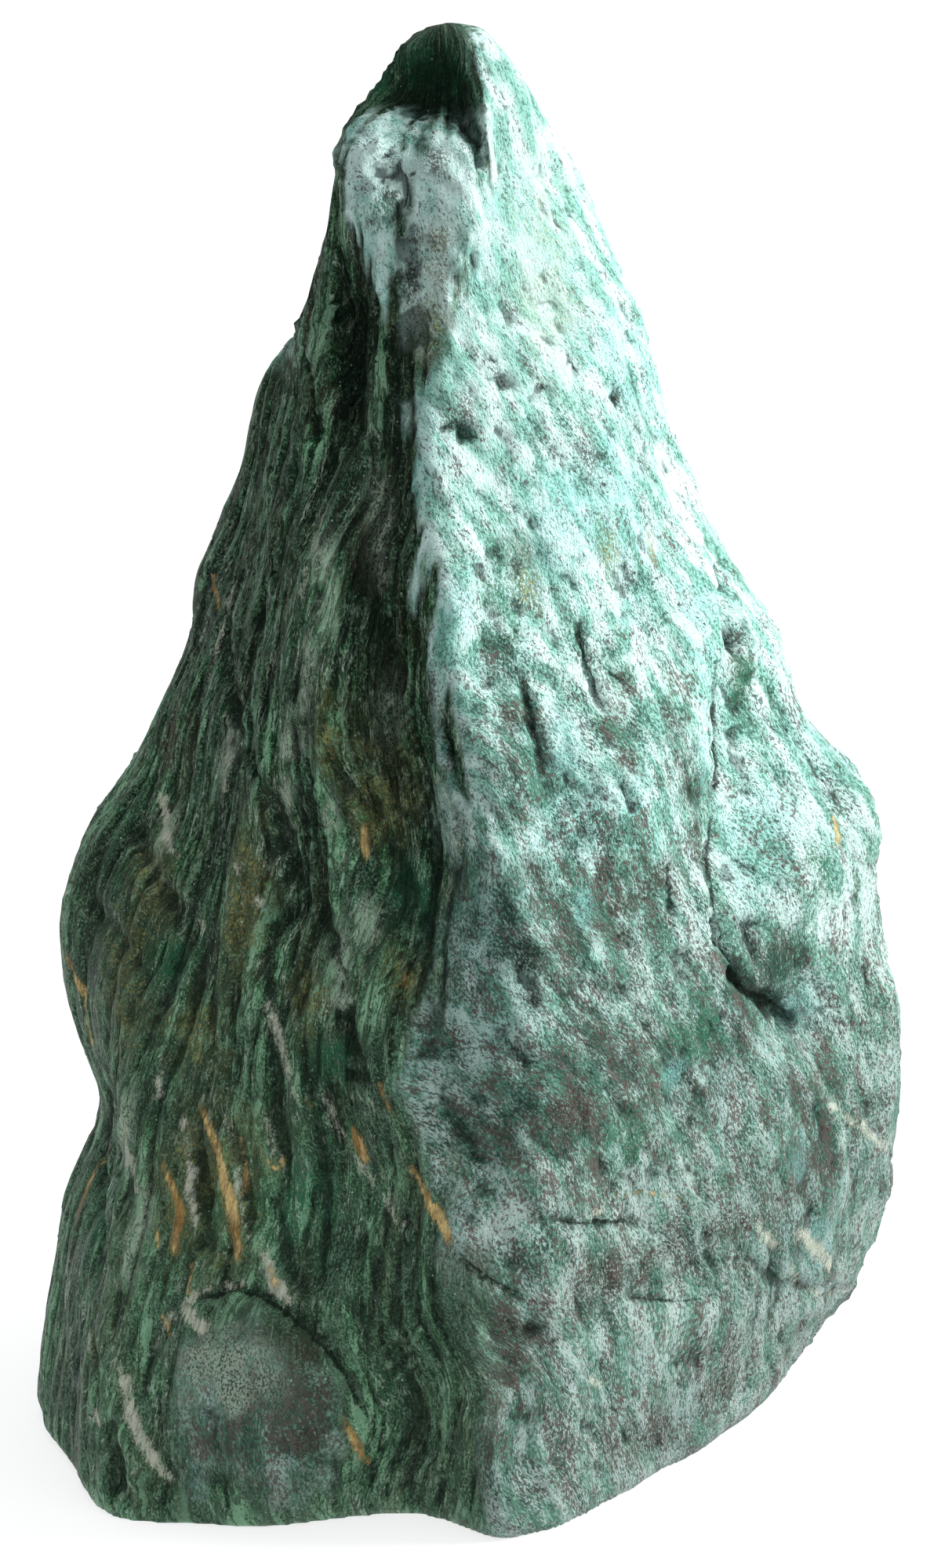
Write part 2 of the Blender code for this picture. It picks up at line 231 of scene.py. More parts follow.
    "seam_2": ("groove", 0.7, 0.4, [(20.7, 36.4), (26.4, 35.8), (32.2, 35.6), (37, 37)]),
    "seam_3": ("groove", 1.3, 0.9, [(37.9, 43.6), (42, 40.5), (46, 38), (52.9, 36.4), (58, 38.5)]),
    "low_hollow": ("groove", 3.0, 0.8, [(3, 33), (9, 30), (13, 27)]),
    "upper_patch": ("groove", 3.2, 0.9, [(1.5, 146), (4, 139), (8.5, 131.5)]),
    "upper_step": ("groove", 1.0, 0.6, [(0, 147.3), (2, 145.6), (5, 145)]),
    "upper_notch_1": ("groove", 1.0, 1.2, [(-3.6, 164.5), (-3.2, 162.5)]),
    "upper_notch_2": ("groove", 1.0, 1.2, [(-1.2, 164.3), (-0.4, 161)]),
    "upper_slit_1": ("groove", 0.8, 0.9, [(13.8, 174.6), (16.1, 171.2)]),
    "upper_slit_2": ("groove", 0.8, 0.9, [(3.7, 171.6), (4.7, 168.5)]),
    "upper_slit_3": ("groove", 0.8, 0.9, [(21.1, 169.2), (22.4, 167.2)]),
}

# How far a stroke reaches to each side, in its own widths. The lips of cracks and ledges fade slowly.
REACH = {"groove": 3.2, "ridge": 3.2, "crack": 12, "ledge": 12}

# A lip fades over LIP_FADE widths. A crack's own is CRACK_LIP of its depth high, and the crack's bottom
# lies CRACK_SHIFT of its width beside it.
LIP_FADE = 5
CRACK_LIP = 0.25
CRACK_SHIFT = 0.4

# Strokes wobble sideways by WOBBLE of their width, in waves WOBBLE_LENGTH mm long. In beats BEAT_LENGTH
# mm long they swell and thin by up to WIDTH_BEAT of their width and HEIGHT_BEAT of their height. They
# fade in and out over FADE_LENGTH of their length.
WOBBLE = 0.7
WOBBLE_LENGTH = 2.5
BEAT_LENGTH = 5
WIDTH_BEAT = 0.25
HEIGHT_BEAT = 0.5
FADE_LENGTH = 0.22

# Cracks, and grooves narrower than SLIT_WIDTH mm, have a dark line of painted shade inside. It reaches
# SEAM_SHARE of their width to each side and thins to SEAM_END mm at its ends, so that it stops a little
# before them. Points up to SEAM_REACH mm away have a part in it, and NO_SEAM is the line's width for all
# others.
SLIT_WIDTH = 0.95
SEAM_SHARE = 0.28
SEAM_END = -0.2
SEAM_REACH = 1.4
NO_SEAM = -1.0

# Small pits seen from the display side: (across, up, radius).
PITS = (
    (5.2, 180.4, 1.2), (10.1, 186.1, 0.9), (15.5, 187.8, 1.1), (13.4, 193.3, 1.0), (12.1, 200.1, 0.8),
    (10.8, 201.5, 0.8), (11.8, 197.8, 0.8), (14.8, 195.5, 0.8), (4.4, 174.6, 0.8), (11.1, 177.1, 0.8),
    (13.1, 178.3, 0.8), (17.8, 174.0, 0.8), (10.3, 170.6, 0.8), (6.3, 170.0, 0.8), (20.1, 170.9, 0.8),
    (1.7, 126.3, 0.9), (25.5, 40.4, 0.9), (-2.6, 191.3, 1.0), (-1.7, 193.5, 0.7), (-2.9, 185.9, 0.9),
)

# A pit's lean, depth and width, as shares of its radius.
PIT_LEAN = 0.45
PIT_DEPTH = 0.4
PIT_WIDTH = 0.65

# The notch under the tip: its depth, the width of its wall and its corner points. The skin inside
# is pressed straight back.
NOTCH = (2.8, 3.0, [
    (-24, 214), (-17.8, 208.8), (-14.4, 210.2), (-12.6, 211), (-9.2, 208.8), (-6.3, 209), (-3.4, 209.5),
    (-1.5, 207), (0.2, 206.5), (0.4, 210), (-0.5, 214), (-3, 219), (-6, 227), (-24, 227)])

# The outlines of the open sheets run out in fingers along the hair, of this width and length in mm.
# They are FINGER_REACH mm long, and FINGER_SPREAD of the outline's soft edge more.
FINGERS = (3.5, 3.5, 14.0)
FINGER_REACH = 2.6
FINGER_SPREAD = 0.4

# Open cleavage sheets on the display side: how much they show, the width of their soft edge, and the
# corner points of their outlines. The rest of that side cuts across the sheets.
SHEETS = {
    "right_face": (1.0, 2.2, [
        (-0.5, 230), (0, 220.6), (0.7, 212.5), (2.5, 203.9), (0, 196.5), (-1.1, 187.3), (-3.4, 180.4),
        (-6, 173.5), (-8.6, 166.6), (-9.8, 157.4), (-7.5, 148.2), (-6, 136.7), (-5.1, 125.2),
        (-3.2, 116), (-1.7, 106.8), (-1.2, 99), (10, 96), (90, 96), (90, 230)]),
    "right_face_low": (1.0, 9.0, [
        (-1.0, 116), (-1.7, 106.8), (-2.2, 97.7), (-3.2, 90.8), (-4.6, 82.7), (-8.5, 74.7),
        (-10.2, 67.8), (-7.2, 60.9), (-3.6, 51.7), (-0.7, 42.5), (1, 31), (1.8, 19.5), (1.6, 8),
        (0, 0), (0, -10), (90, -10), (90, 116)]),
    "lump": (1.0, 1.6, [
        (-18.4, 207.4), (-14.9, 210.2), (-10.3, 210.8), (-8, 209.1), (-9.2, 203.4), (-10.2, 196.5),
        (-12.2, 189), (-13.5, 184), (-15, 189), (-17.8, 194), (-19.5, 201)]),
    "band": (1.0, 3.0, [
        (-9.5, 197), (-7, 208.5), (-2, 209), (1.5, 203), (0, 196.5), (-1.1, 187), (-3.4, 180.4),
        (-6.5, 174), (-10.5, 179), (-12, 188)]),
    "shoulder_top": (0.5, 2.0, [(-31, 178), (-26, 179), (-25.5, 174.5), (-28, 174), (-31, 172)]),
    "boulder": (0.9, 6.0, [(-42, 28), (-35, 32), (-27, 29), (-20, 19), (-20, 8), (-34, 5), (-43, 14)]),
}

# Ochre lenses of iron-stained feldspar, by bearing: points of (across, up, half width).
OCHRE = {
    FRONT: {
        "sliver": [(-38.4, 143, 0.35), (-37.6, 139.5, 0.75), (-37.1, 137.2, 0.6)],
        "edge_strip": [(-59.2, 86.7, 0.5), (-57.4, 81.5, 0.8), (-55.7, 73.5, 0.8)],
        "hollow_lens": [(-15.5, 105.2, 0.5), (-15.4, 102.5, 0.9), (-15, 100.2, 0.4)],
        "hollow_spot": [(-9.5, 83.5, 0.4), (-9.3, 82, 0.5)],
        "long_lens": [
            (-39.6, 63.7, 0.6), (-37.9, 59.7, 0.9), (-36.2, 54, 1.0), (-34.8, 48, 1.2), (-34, 42, 0.8)],
        "bent_lens": [
            (-45.2, 56, 0.4), (-43.9, 52, 0.9), (-42.5, 48.8, 1.1), (-43.7, 44.6, 0.8), (-43.5, 42.5, 0.6)],
        "bent_lens_tail": [(-46.3, 47.1, 0.5), (-45.8, 43.6, 0.5)],
        "thin_lens": [(-33.9, 59.7, 0.3), (-33.1, 55.1, 0.5), (-32.7, 51.7, 0.5)],
        "hook": [(-31, 58.6, 0.3), (-29.5, 55.3, 0.6), (-28, 54.8, 0.6), (-27.6, 56.3, 0.4)],
        "drop": [(-17.3, 60.8, 0.6), (-16.2, 58.3, 1.2), (-15.4, 56.6, 0.9)],
        "ridge_lens_1": [(-13.6, 67, 0.6), (-12.6, 64.8, 0.5), (-11.6, 62.5, 0.3)],
        "ridge_lens_2": [(-8.9, 55, 0.4), (-6.6, 51, 0.9), (-4.4, 47.5, 1.1), (-3, 44.5, 0.6)],
        "low_lens_1": [(-41, 40.8, 0.5), (-41.4, 36.8, 0.5)],
        "low_lens_2": [(-29.4, 40.4, 0.6), (-28.5, 38.2, 0.7)],
        "low_lens_3": [(-45.6, 33.8, 0.4), (-44.4, 30.6, 0.5)],
        "crumb": [(-24.3, 65.4, 0.4), (-23.5, 64.4, 0.5)],
        "boulder_stain": [(-18.4, 18.4, 0.5), (-16.7, 14.5, 0.9), (-15, 12, 0.6)],
        "bulge_spot": [(53, 106.8, 0.4), (53.4, 103.5, 0.9), (53.6, 102, 0.4)],
        "low_line": [(21.8, 51.1, 0.25), (26.4, 51.5, 0.35), (31, 50.6, 0.25)],
        "upper_stain": [(25.9, 148.2, 0.3), (26.6, 145, 0.5), (27, 142.4, 0.3)],
    },
    BACK: {
        "back_lens_1": [(-36, 78, 0.4), (-34.5, 70, 0.9), (-33.5, 62, 0.5)],
        "back_lens_2": [(-20, 49, 0.3), (-19, 42, 0.7), (-18.5, 36, 0.4)],
        "back_lens_3": [(10, 96, 0.3), (9.4, 90, 0.7), (9.2, 85, 0.3)],
    },
    LEFT: {
        "side_lens_1": [(-14, 118, 0.3), (-13.5, 111, 0.8), (-13.5, 104, 0.4)],
        "side_lens_2": [(6, 42, 0.3), (6.6, 35, 0.8), (7, 29, 0.4)],
    },
}

# Pale veins and crumbs of quartz and silvery mica, by bearing: points of (across, up, half width).
VEINS = {
    FRONT: {
        "left_vein": [(-36.2, 121.5, 0.3), (-35.6, 116, 0.6), (-36.4, 111, 0.4)],
        "belly_vein": [(-45.4, 109.7, 0.5), (-44.8, 103.4, 0.9), (-43.1, 101, 0.5)],
        "strand": [(-27.2, 112, 0.3), (-26.7, 108.5, 0.35)],
        "crumb_1": [(-34.5, 99.6, 0.5), (-34.3, 99.1, 0.5)],
        "crumb_2": [(-31.6, 94.4, 0.5), (-31.3, 94, 0.5)],
        "crumb_3": [(-40.3, 91.9, 0.5), (-40.1, 90.9, 0.6)],
        "crumb_4": [(-1.9, 102.7, 0.5), (-1.5, 102.3, 0.5)],
        "crumb_5": [(-4.7, 112.8, 0.35), (-4.5, 112.4, 0.35)],
        "pale_rib": [(-29.9, 79.5, 0.5), (-28.3, 74, 0.8), (-27.2, 69.5, 0.7), (-25.2, 65.5, 0.4)],
        "rib_line": [(-45.4, 71, 0.3), (-46, 65.5, 0.45)],
        "crest_strand": [(-21.3, 152.8, 0.3), (-23, 148.2, 0.4), (-24.1, 143.6, 0.35), (-24.7, 138, 0.25)],
        "foot_line_1": [(-59.2, 31.4, 0.3), (-58.6, 25.3, 0.35)],
        "foot_line_2": [(-56.5, 33.8, 0.3), (-55.7, 26.4, 0.35)],
        "foot_crumb": [(-55, 19, 0.6), (-54.7, 17.8, 0.5)],
        "boulder_edge": [
            (-51.4, 26, 0.5), (-50.2, 21.5, 1.0), (-48.8, 17, 1.3), (-47, 13, 1.1), (-44.5, 9.5, 0.5)],
        "corner": [(-52, 64, 0.5), (-50.8, 60, 0.7), (-50.2, 56, 0.9), (-49, 52, 0.5)],
        "lens_edge_1": [(-36.2, 63, 0.3), (-34.6, 57.5, 0.5), (-33.6, 50, 0.5), (-32.6, 45, 0.3)],
        "lens_edge_2": [(-42.2, 62, 0.3), (-41.3, 55, 0.5), (-40.4, 47, 0.4)],
        "lens_edge_3": [(-30, 62, 0.3), (-28.6, 57.5, 0.45), (-26.6, 52, 0.3)],
        "emerald_line": [(-22, 66, 0.25), (-17, 57, 0.4), (-10, 46.5, 0.3)],
        "boulder_line": [(-47, 28, 0.3), (-44.6, 33.5, 0.5), (-39, 37.6, 0.5), (-33, 38, 0.3)],
        "nose": [(-30.2, 42.8, 0.9), (-29, 38.7, 1.3), (-26.6, 35.2, 0.8)],
        "boulder_top": [(-42, 34.4, 0.9), (-39.4, 32, 1.2)],
        "low_white_1": [(18.2, 48.2, 0.6), (19.8, 48.6, 0.6)],
        "low_white_2": [(41.4, 47.1, 0.5), (43.4, 45, 0.9), (44.8, 43.8, 0.6)],
        "low_white_3": [(17.8, 24, 0.6), (19, 23.3, 0.7)],
        "edge_vein": [(52.9, 64.3, 0.5), (57.4, 60.9, 0.7), (60.9, 58, 0.5)],
        "corner_mass": [(47.8, 46, 0.7), (50.5, 43.6, 1.3), (52.5, 41, 1.0)],
        "corner_line": [(47.1, 40.4, 0.4), (48.3, 37.6, 0.5), (52.9, 36.6, 0.5), (56.3, 38.3, 0.4)],
    },
    BACK: {
        "back_vein_1": [(20, 124, 0.3), (21, 112, 0.6), (20, 100, 0.3)],
        "back_vein_2": [(34, 66, 0.4), (37, 56, 0.8), (37.5, 48, 0.4)],
        "back_vein_3": [(-12, 150, 0.3), (-13, 138, 0.5), (-13, 128, 0.3)],
    },
    LEFT: {
        "side_vein_1": [(-22, 82, 0.4), (-21, 73, 0.7), (-22, 66, 0.4)],
        "side_vein_2": [(4, 132, 0.3), (5, 122, 0.5), (5.5, 114, 0.3)],
    },
}

# Tinted patches on the display side, by tint: (across, up, half width, half height). Dusk ones hold
# more dark flakes and are partly painted shade, hair ones more pale fibres, and pale ones are painted
# light: lighter sheets where facets are lit.
PATCHES = {
    # Dusk: darker tone, and painted shade in the notch under the tip, in the hollow beside the crest and
    # under the bulge's overhang.
    "dark_tone_and_shade": (
        (-50, 84, 9, 12), (46, 84, 8, 7), (-8, 90, 4, 10), (14, 92, 17, 15), (-31, 18, 15, 15),
        (-31, 30, 15, 8), (9, 113, 6, 14), (31, 117, 5, 14), (38, 80, 12, 7), (20, 66, 26, 12),
        (-29, 165, 7, 14), (-34, 138, 12, 16), (-54, 94, 10, 18), (22, 122, 5, 10), (40, 128, 3, 9),
        (-14, 154, 6, 24), (4, 26, 6, 14), (50, 60, 10, 12), (-19.5, 176, 4, 16), (-9, 216, 8, 5),
        (5, 130, 4, 14), (-8, 190, 1.2, 6), (-12, 197, 2.5, 5),
    ),
    "brown": (
        (23.3, 115.2, 2.2, 1.6), (29, 120.5, 1.4, 3.4), (-15, 146, 4, 7), (-11.8, 127.5, 2.2, 7),
        (-5.7, 125, 1.6, 5), (-32, 97, 3, 8), (-21.3, 77, 2.5, 5), (-20, 167, 1.8, 9),
        (17, 158.6, 2.5, 4), (25.3, 161.4, 2.5, 5), (27.6, 97.7, 4, 3.5), (24.7, 81.6, 2.5, 3),
        (15, 63.7, 4.5, 3.5), (48.3, 54.6, 3, 5), (37, 26, 9, 6), (20, 39, 13, 4), (38, 47, 10, 3),
        (27, 17, 10, 4), (33, 103, 2, 8), (-24.7, 25.3, 5, 6), (6.9, 31, 5, 5), (-1.7, 165, 3, 4),
        (-17.5, 72, 2.5, 6), (-44, 118, 3, 5), (6, 121, 1.5, 5), (22, 93, 2.5, 5), (7, 84.5, 1.5, 2.5),
        (-5.5, 203, 2, 3), (-9, 184, 1.8, 3), (-23, 15, 3, 4),
    ),
    "khaki": (
        (-38, 52, 9, 12), (-50, 86, 7, 16), (-33, 95, 4, 12), (-13, 110, 5, 9), (-24, 80, 3, 6),
        (-47, 98, 5, 8), (-40, 75, 6, 6), (-10, 84, 3, 5), (-21, 120, 2, 8), (-5, 188, 2, 6),
        (-6, 178, 3, 6), (8, 142, 2.5, 7), (20, 146, 2.5, 6),
    ),
    # Forest: dark flakes, and painted shadow along the right face's cracks and under the bulge's overhang.
    "forest": (
        (40.8, 88, 2.4, 4.8), (39, 134, 2.2, 8), (39.8, 123.7, 1.6, 2), (37.9, 119.5, 1.3, 1.6),
        (4, 91, 3.2, 9), (8.5, 84, 2.6, 7), (-8.5, 88, 2, 6), (12, 100, 2.5, 4), (45, 83, 7, 4.5),
        (-8, 92, 3, 9), (39, 88, 2.5, 4), (-52, 93, 5, 10), (-47, 84, 4, 7), (-58, 24, 4, 11),
        (-27, 160, 4, 10),
    ),
    # Emerald: chromium-rich patches, and painted shade in the notch under the tip and in the hollow beside
    # the crest.
    "emerald": (
        (23, 58.6, 4.5, 4.5), (50.6, 98.8, 3.5, 4), (-26, 49.4, 6, 7), (-8.6, 95, 3.5, 6),
        (-20, 71, 3, 4), (-54, 48, 4, 12), (5, 141, 4, 6), (40, 127, 3, 4), (-37.5, 47, 2, 6),
        (33, 75, 5, 5), (-45, 85, 4, 5), (-8, 215, 7, 5),
    ),
    "turquoise": (
        (12.6, 148, 7, 9), (-2, 137, 3, 5), (13.8, 117.7, 2.5, 5.5), (33.8, 114.9, 1.6, 5),
        (50.5, 43, 4.5, 4.5), (16.5, 93.6, 1.7, 3), (9.8, 102.8, 1.6, 2.2), (29.9, 69, 2.5, 2.5),
        (48, 79, 4, 4), (48, 57, 2, 4),
    ),
    "hair": (
        (-36, 25, 8, 6), (11, 188, 7, 18), (-49, 45, 2.5, 12), (-19, 84, 2, 6), (-15, 91, 1.6, 9),
        (-45, 104, 2, 7), (-36, 116, 1.6, 8), (-20, 106, 1.3, 10), (-27, 112, 1.2, 12), (-51, 62, 2, 9),
        (-13, 150, 2, 10), (-24, 128, 1.5, 14), (-21.5, 141, 2.2, 8), (-12, 122, 2, 7),
    ),
    # Pale: painted light, lighter sheets on the lit lump and on the band under the tip.
    "pale": (
        (-14, 202, 6, 10), (-4, 199, 3.5, 10), (-6, 188, 3.5, 10),
    ),
}

# Width in mm of the wisps that break up a patch's outline, and how much they do.
PATCH_RAGGEDNESS = (4.0, 1.2)

# The sides that the display view does not show are dented, as (width in mm, depth in mm, seed), and
# the grain's relief is HIDDEN_RELIEF times as high there. Dents fade out in the lowest FOOT_KEPT mm.
DENTS = ((34.0, 3.0, 5.3), (14.0, 1.6, 17.1))
HIDDEN_RELIEF = 2.2
FOOT_KEPT = 6

# Their edges are knocked off by up to EDGE_CHIPS mm, in chips CHIP_WIDTH mm wide. A full edge is one
# that stands out by EDGE_HEIGHT mm after EDGE_PASSES of averaging.
EDGE_CHIPS = 2.5
CHIP_WIDTH = 9
EDGE_HEIGHT = 3
EDGE_PASSES = 70

# There these tints lie in clouds CLOUD_WIDTH mm wide.
CLOUDED = ("dark_tone_and_shade", "brown", "khaki", "forest", "emerald")
CLOUD_WIDTH = 15.0

# The relief fades out where the tip is slender, over this many mm.
SLENDER = 40.0

# Points lower than this are on the sawn foot, in mm.
FOOT_MARGIN = 0.3

# Lenses and veins reach points up to MARK_REACH mm away. Points that no mark or seam reaches count as
# OUTSIDE mm beside it, and FAR is farther than anything on the stone.
MARK_REACH = 4
OUTSIDE = 3.0
FAR = 1000.0

# A line on the skin has a point at every LINE_STEP mm.
LINE_STEP = 0.4

# Size in mm of the flakes on the open sheets, across the grain twice and along it.
FLAKE_SIZE = (0.38, 0.34, 0.75)

# Height in mm of the relief that is too fine for the mesh.
BUMP_HEIGHT = 0.55

# Between these heights in mm the stone gets duller and more silvery downwards, and its open sheets get
# cleaner upwards.
DULL_HEIGHTS = (125.0, 35.0)
CLEAN_HEIGHTS = (40.0, 190.0)

# Height in mm of small crests and of broad ones.
SMALL_CREST = 0.25
BROAD_CREST = 1.3

# Passes of smoothing after each remeshing, and passes of averaging that leave the broad faces.
SMOOTH_PASSES = (12, 9)
FACE_PASSES = 12


def from_hex(code):
    """An sRGB hex colour as linear red, green and blue."""
    shades = [int(code[i:i + 2], 16) / 255 for i in (0, 2, 4)]
    return tuple(s / 12.92 if s <= 0.04045 else ((s + 0.055) / 1.055) ** 2.4 for s in shades)


def colour(name, description, code):
    """A colour setting that starts from an sRGB hex value."""
    return FloatVectorProperty(
        name=name, description=description, subtype="COLOR", size=3, min=0, max=1, default=from_hex(code))


def length(name, description, millimetres):
    """A length setting, given in millimetres and held in metres."""
    return FloatProperty(
        name=name, description=description, unit="LENGTH", min=0, default=millimetres * MM, precision=5)


class StoneSizes(bpy.types.PropertyGroup):
    """Sizes of the stone's relief."""

    mesh_step: length("Mesh step", "Width of the skin's faces", 0.9)
    rib_height: length("Rib height", "Height of the ribs on faces that cut across the grain", 0.75)
    rib_pitch: length("Rib pitch", "Distance from one rib to the next", 5.5)
    furrow_depth: length("Furrow depth", "Depth of the narrow furrows between the ribs", 0.75)
    terrace_step: length("Terrace step", "Height of the steps on the cleavage faces", 0.42)
    terrace_width: length("Terrace width", "Width of the steps' treads", 10.0)
    scale_height: length("Scale height", "Height of the overlapping scales on the cleavage faces", 0.36)
    scale_width: length("Scale width", "Width of those scales", 2.6)
    lump_height: length("Lump height", "Height of the small lumps all over", 0.22)
    lump_width: length("Lump width", "Width of the small lumps", 2.6)
    seed: IntProperty(name="Seed", description="Picks another set of ribs, steps and lumps", default=7)


# The relief's inputs, which are named for the sizes above.
RELIEF_INPUTS = (
    "Rib Height", "Rib Pitch", "Furrow Depth", "Terrace Step", "Terrace Width", "Scale Height",
    "Scale Width", "Lump Height", "Lump Width")


class StoneColours(bpy.types.PropertyGroup):
    """Colours of the schist."""

    deep: colour("Deep green", "Chlorite-rich bands and shaded hollows", "081C10")
    green: colour("Green", "Ordinary fuchsite, cut across its sheets", "235A32")
    silver: colour("Silver green", "Fibres of clean mica", "7EAA8A")
    hair: colour("Pale fibre", "Single fibres of clean mica", "C0D6C0")
    olive: colour("Olive", "Weathered bands between the fibres", "33351A")
    moss: colour("Moss", "Darker flakes on the cleavage sheets", "3F7560")
    forest: colour("Forest", "Darkest flakes on the cleavage sheets", "14352A")
    mint: colour("Mint", "Open cleavage sheets", "8CC2B4")
    pale: colour("Pale mint", "Fresh, pearly sheets", "CCE9E4")
    dull: colour("Dull green", "Sheets low on the stone", "8A978F")
    purple: colour("Purple brown", "Weathered, iron-bearing flakes", "574743")
    brown: colour("Brown", "Weathered patches", "3A2C24")
    khaki: colour("Khaki", "Weathered, glittering patches", "63633E")
    gold: colour("Gold", "Tiny scales of golden green mica", "9A9C5E")
    emerald: colour("Emerald", "Chromium-rich patches", "1F6A4A")
    turquoise: colour("Turquoise", "Smooth bluish sheets", "8ACBC6")
    ochre: colour("Ochre", "Iron-stained feldspar", "A5834E")
    cream: colour("Cream", "Clean feldspar", "DCC083")
    vein: colour("Vein", "Quartz and silvery mica", "C6CBB9")


class StageSettings(bpy.types.PropertyGroup):
    """The floor and the lights."""

    floor_width: FloatProperty(
        name="Floor width", description="Side of the floor", unit="LENGTH", default=8.0)
    floor_colour: colour("Floor", "Pale matt panel, lit from below", "8E8F8F")
    floor_glow: FloatProperty(
        name="Floor glow", description="Light that comes through the floor", default=0.76)
    key_power: FloatProperty(
        name="Key light", description="Soft window from the right", unit="POWER", default=0.66)
    key_size: FloatProperty(name="Key size", description="Side of the window", unit="LENGTH", default=0.2)
    key_spread: FloatProperty(
        name="Key spread", description="Angle of its beam", subtype="ANGLE", default=math.radians(55))
    sky_strength: FloatProperty(
        name="Sky", description="Strength of the soft light from overhead", default=1.95)


def add(tree, kind, *feeds, more=None, **settings):
    """Adds a node with its settings and links, and gives back its outputs. The feeds go to its
    inputs in order, and more ones by index or name. Each is a value or another node's output."""
    node = tree.nodes.new(kind)
    for name, value in settings.items():
        setattr(node, name, value)
    for key, feed in (dict(enumerate(feeds)) | (more or {})).items():
        if isinstance(feed, bpy.types.NodeSocket):
            tree.links.new(feed, node.inputs[key])
        else:
            node.inputs[key].default_value = feed
    return node.outputs


def read(collection, name, width, kind=np.float64):
    """A property of a mesh's items as rows of numbers."""
    values = np.empty(len(collection) * width, kind)
    collection.foreach_get(name, values)
    return values.reshape(-1, width) if width > 1 else values


class Skin:
    """A mesh while it is worked on: its points in millimetres, and how they are joined."""

    def __init__(self, mesh):
        self.mesh = mesh
        self.points = read(mesh.vertices, "co", 3) / MM
        self.edges = read(mesh.edges, "vertices", 2, np.int32)
        self.joined = np.bincount(self.edges.ravel(), minlength=len(self.points))
        self.seam_gap = np.full(len(self.points), FAR)
        self.seam_side = np.full(len(self.points), OUTSIDE)
        self.seam_width = np.full(len(self.points), NO_SEAM)
        self.refresh()

    def refresh(self):
        """Writes the points to the mesh, and reads back which way they face."""
        self.mesh.vertices.foreach_set("co", (self.points * MM).ravel())
        self.mesh.update()
        self.facing = read(self.mesh.vertex_normals, "vector", 3)
        faces = [tuple(face.vertices) for face in self.mesh.polygons]
        self.tree = BVHTree.FromPolygons(self.points.tolist(), faces)

    def averaged(self, values, passes=1):
        """Values at the points, each replaced by the mean of its neighbours, again and again."""
        columns = values.reshape(len(values), -1)
        first, second = self.edges.T
        for _ in range(passes):
            total = [np.bincount(first, c[second], len(c)) + np.bincount(second, c[first], len(c))
                     for c in columns.T]
            columns = np.array(total).T / self.joined[:, None]
        return columns.reshape(values.shape)

    def smoothed(self, passes, shrink_back=1.02):
        """Evens the points out without shrinking the stone. The flat foot stays flat."""
        flat = self.points[:, 2] < FOOT_MARGIN
        for _ in range(passes):
            for share in (0.5, -0.5 * shrink_back):
                self.points += (self.averaged(self.points) - self.points) * share
            self.points[flat, 2] = 0
        self.refresh()

    def note_seam(self, near, distance, side, width):
        """Remembers on which side of its nearest seam each point lies, how far, and how wide it is."""
        closer = distance < np.minimum(self.seam_gap[near], SEAM_REACH)
        for known, values in ((self.seam_gap, distance), (self.seam_side, side), (self.seam_width, width)):
            known[near[closer]] = values[closer]

    def broad_facing(self):
        """Which way the broad face under each point looks."""
        facing = self.averaged(self.facing, FACE_PASSES)
        return facing / np.linalg.norm(facing, axis=1)[:, None]

    def store(self, name, values):
        """Keeps values at the points as an attribute of the mesh."""
        kind, field = ("FLOAT_VECTOR", "vector") if values.ndim > 1 else ("FLOAT", "value")
        attribute = self.mesh.attributes.new(name, kind, "POINT")
        attribute.data.foreach_set(field, values.astype(np.float32).ravel())


def sight(bearing, across, up):
    """The eye, and the way from it through a place on the card that faces a bearing, in mm."""
    turn = math.radians(bearing)
    back = Vector((math.sin(turn) * math.cos(VIEW_ELEVATION),
                   -math.cos(turn) * math.cos(VIEW_ELEVATION), math.sin(VIEW_ELEVATION)))
    right = Vector((math.cos(turn), math.sin(turn), 0))
    upward = back.cross(right)
    target = VIEW_TARGET / MM
    eye = target + back * (VIEW_DISTANCE / MM)
    place = target + right * across + upward * (up - CARD_MIDDLE)
    return eye, (place - eye).normalized()


def met(skin, across, up):
    """The place on the skin that shows at a place on the display side's card, in mm."""
    place = skin.tree.ray_cast(*sight(FRONT, across, up))[0]
    if place is None:
        raise ValueError(f"nothing of the stone shows at {across}, {up}")
    return np.array(place)


def ahead_of_view():
    """The way that the display view looks."""
    return np.array(sight(FRONT, 0, CARD_MIDDLE)[1])


def card_places(points):
    """Where points in mm show on the display side's card."""
    eye, ahead = sight(FRONT, 0, CARD_MIDDLE)
    right = np.array(sight(FRONT, 1, CARD_MIDDLE)[1] - ahead)
    right /= np.linalg.norm(right)
    upward = np.cross(right, np.array(ahead))
    away = points - np.array(eye)
    scale = (VIEW_DISTANCE / MM) / (away @ np.array(ahead))
    return np.column_stack([away @ right * scale, away @ upward * scale + CARD_MIDDLE])


def spaced(points):
    """Points at even steps along a smooth line through the given ones."""
    points = np.array(points, float)
    gaps = np.linalg.norm(np.diff(points[:, :2], axis=0), axis=1)
    run = np.concatenate([[0], np.cumsum(gaps)])
    places = np.linspace(0, run[-1], max(2, round(run[-1] / LINE_STEP)))
    line = np.column_stack([np.interp(places, run, column) for column in points.T])
    rounding = min(9, len(line) // 3)
    for _ in range(rounding):
        line[1:-1] = (line[:-2] + 2 * line[1:-1] + line[2:]) / 4
    return line


def laid(skin, points, bearing):
    """A line on the card laid onto the skin: its places, the skin's facing there, and what rode
    along as a third value."""
    places, facing, extra = [], [], []
    for row in spaced(points):
        eye, way = sight(bearing, row[0], row[1])
        hit, normal, _, _ = skin.tree.ray_cast(eye, way)
        if hit is not None:
            places.append(hit)
            facing.append(normal)
            extra.append(row[2:])
    return np.array(places), np.array(facing), np.array(extra)


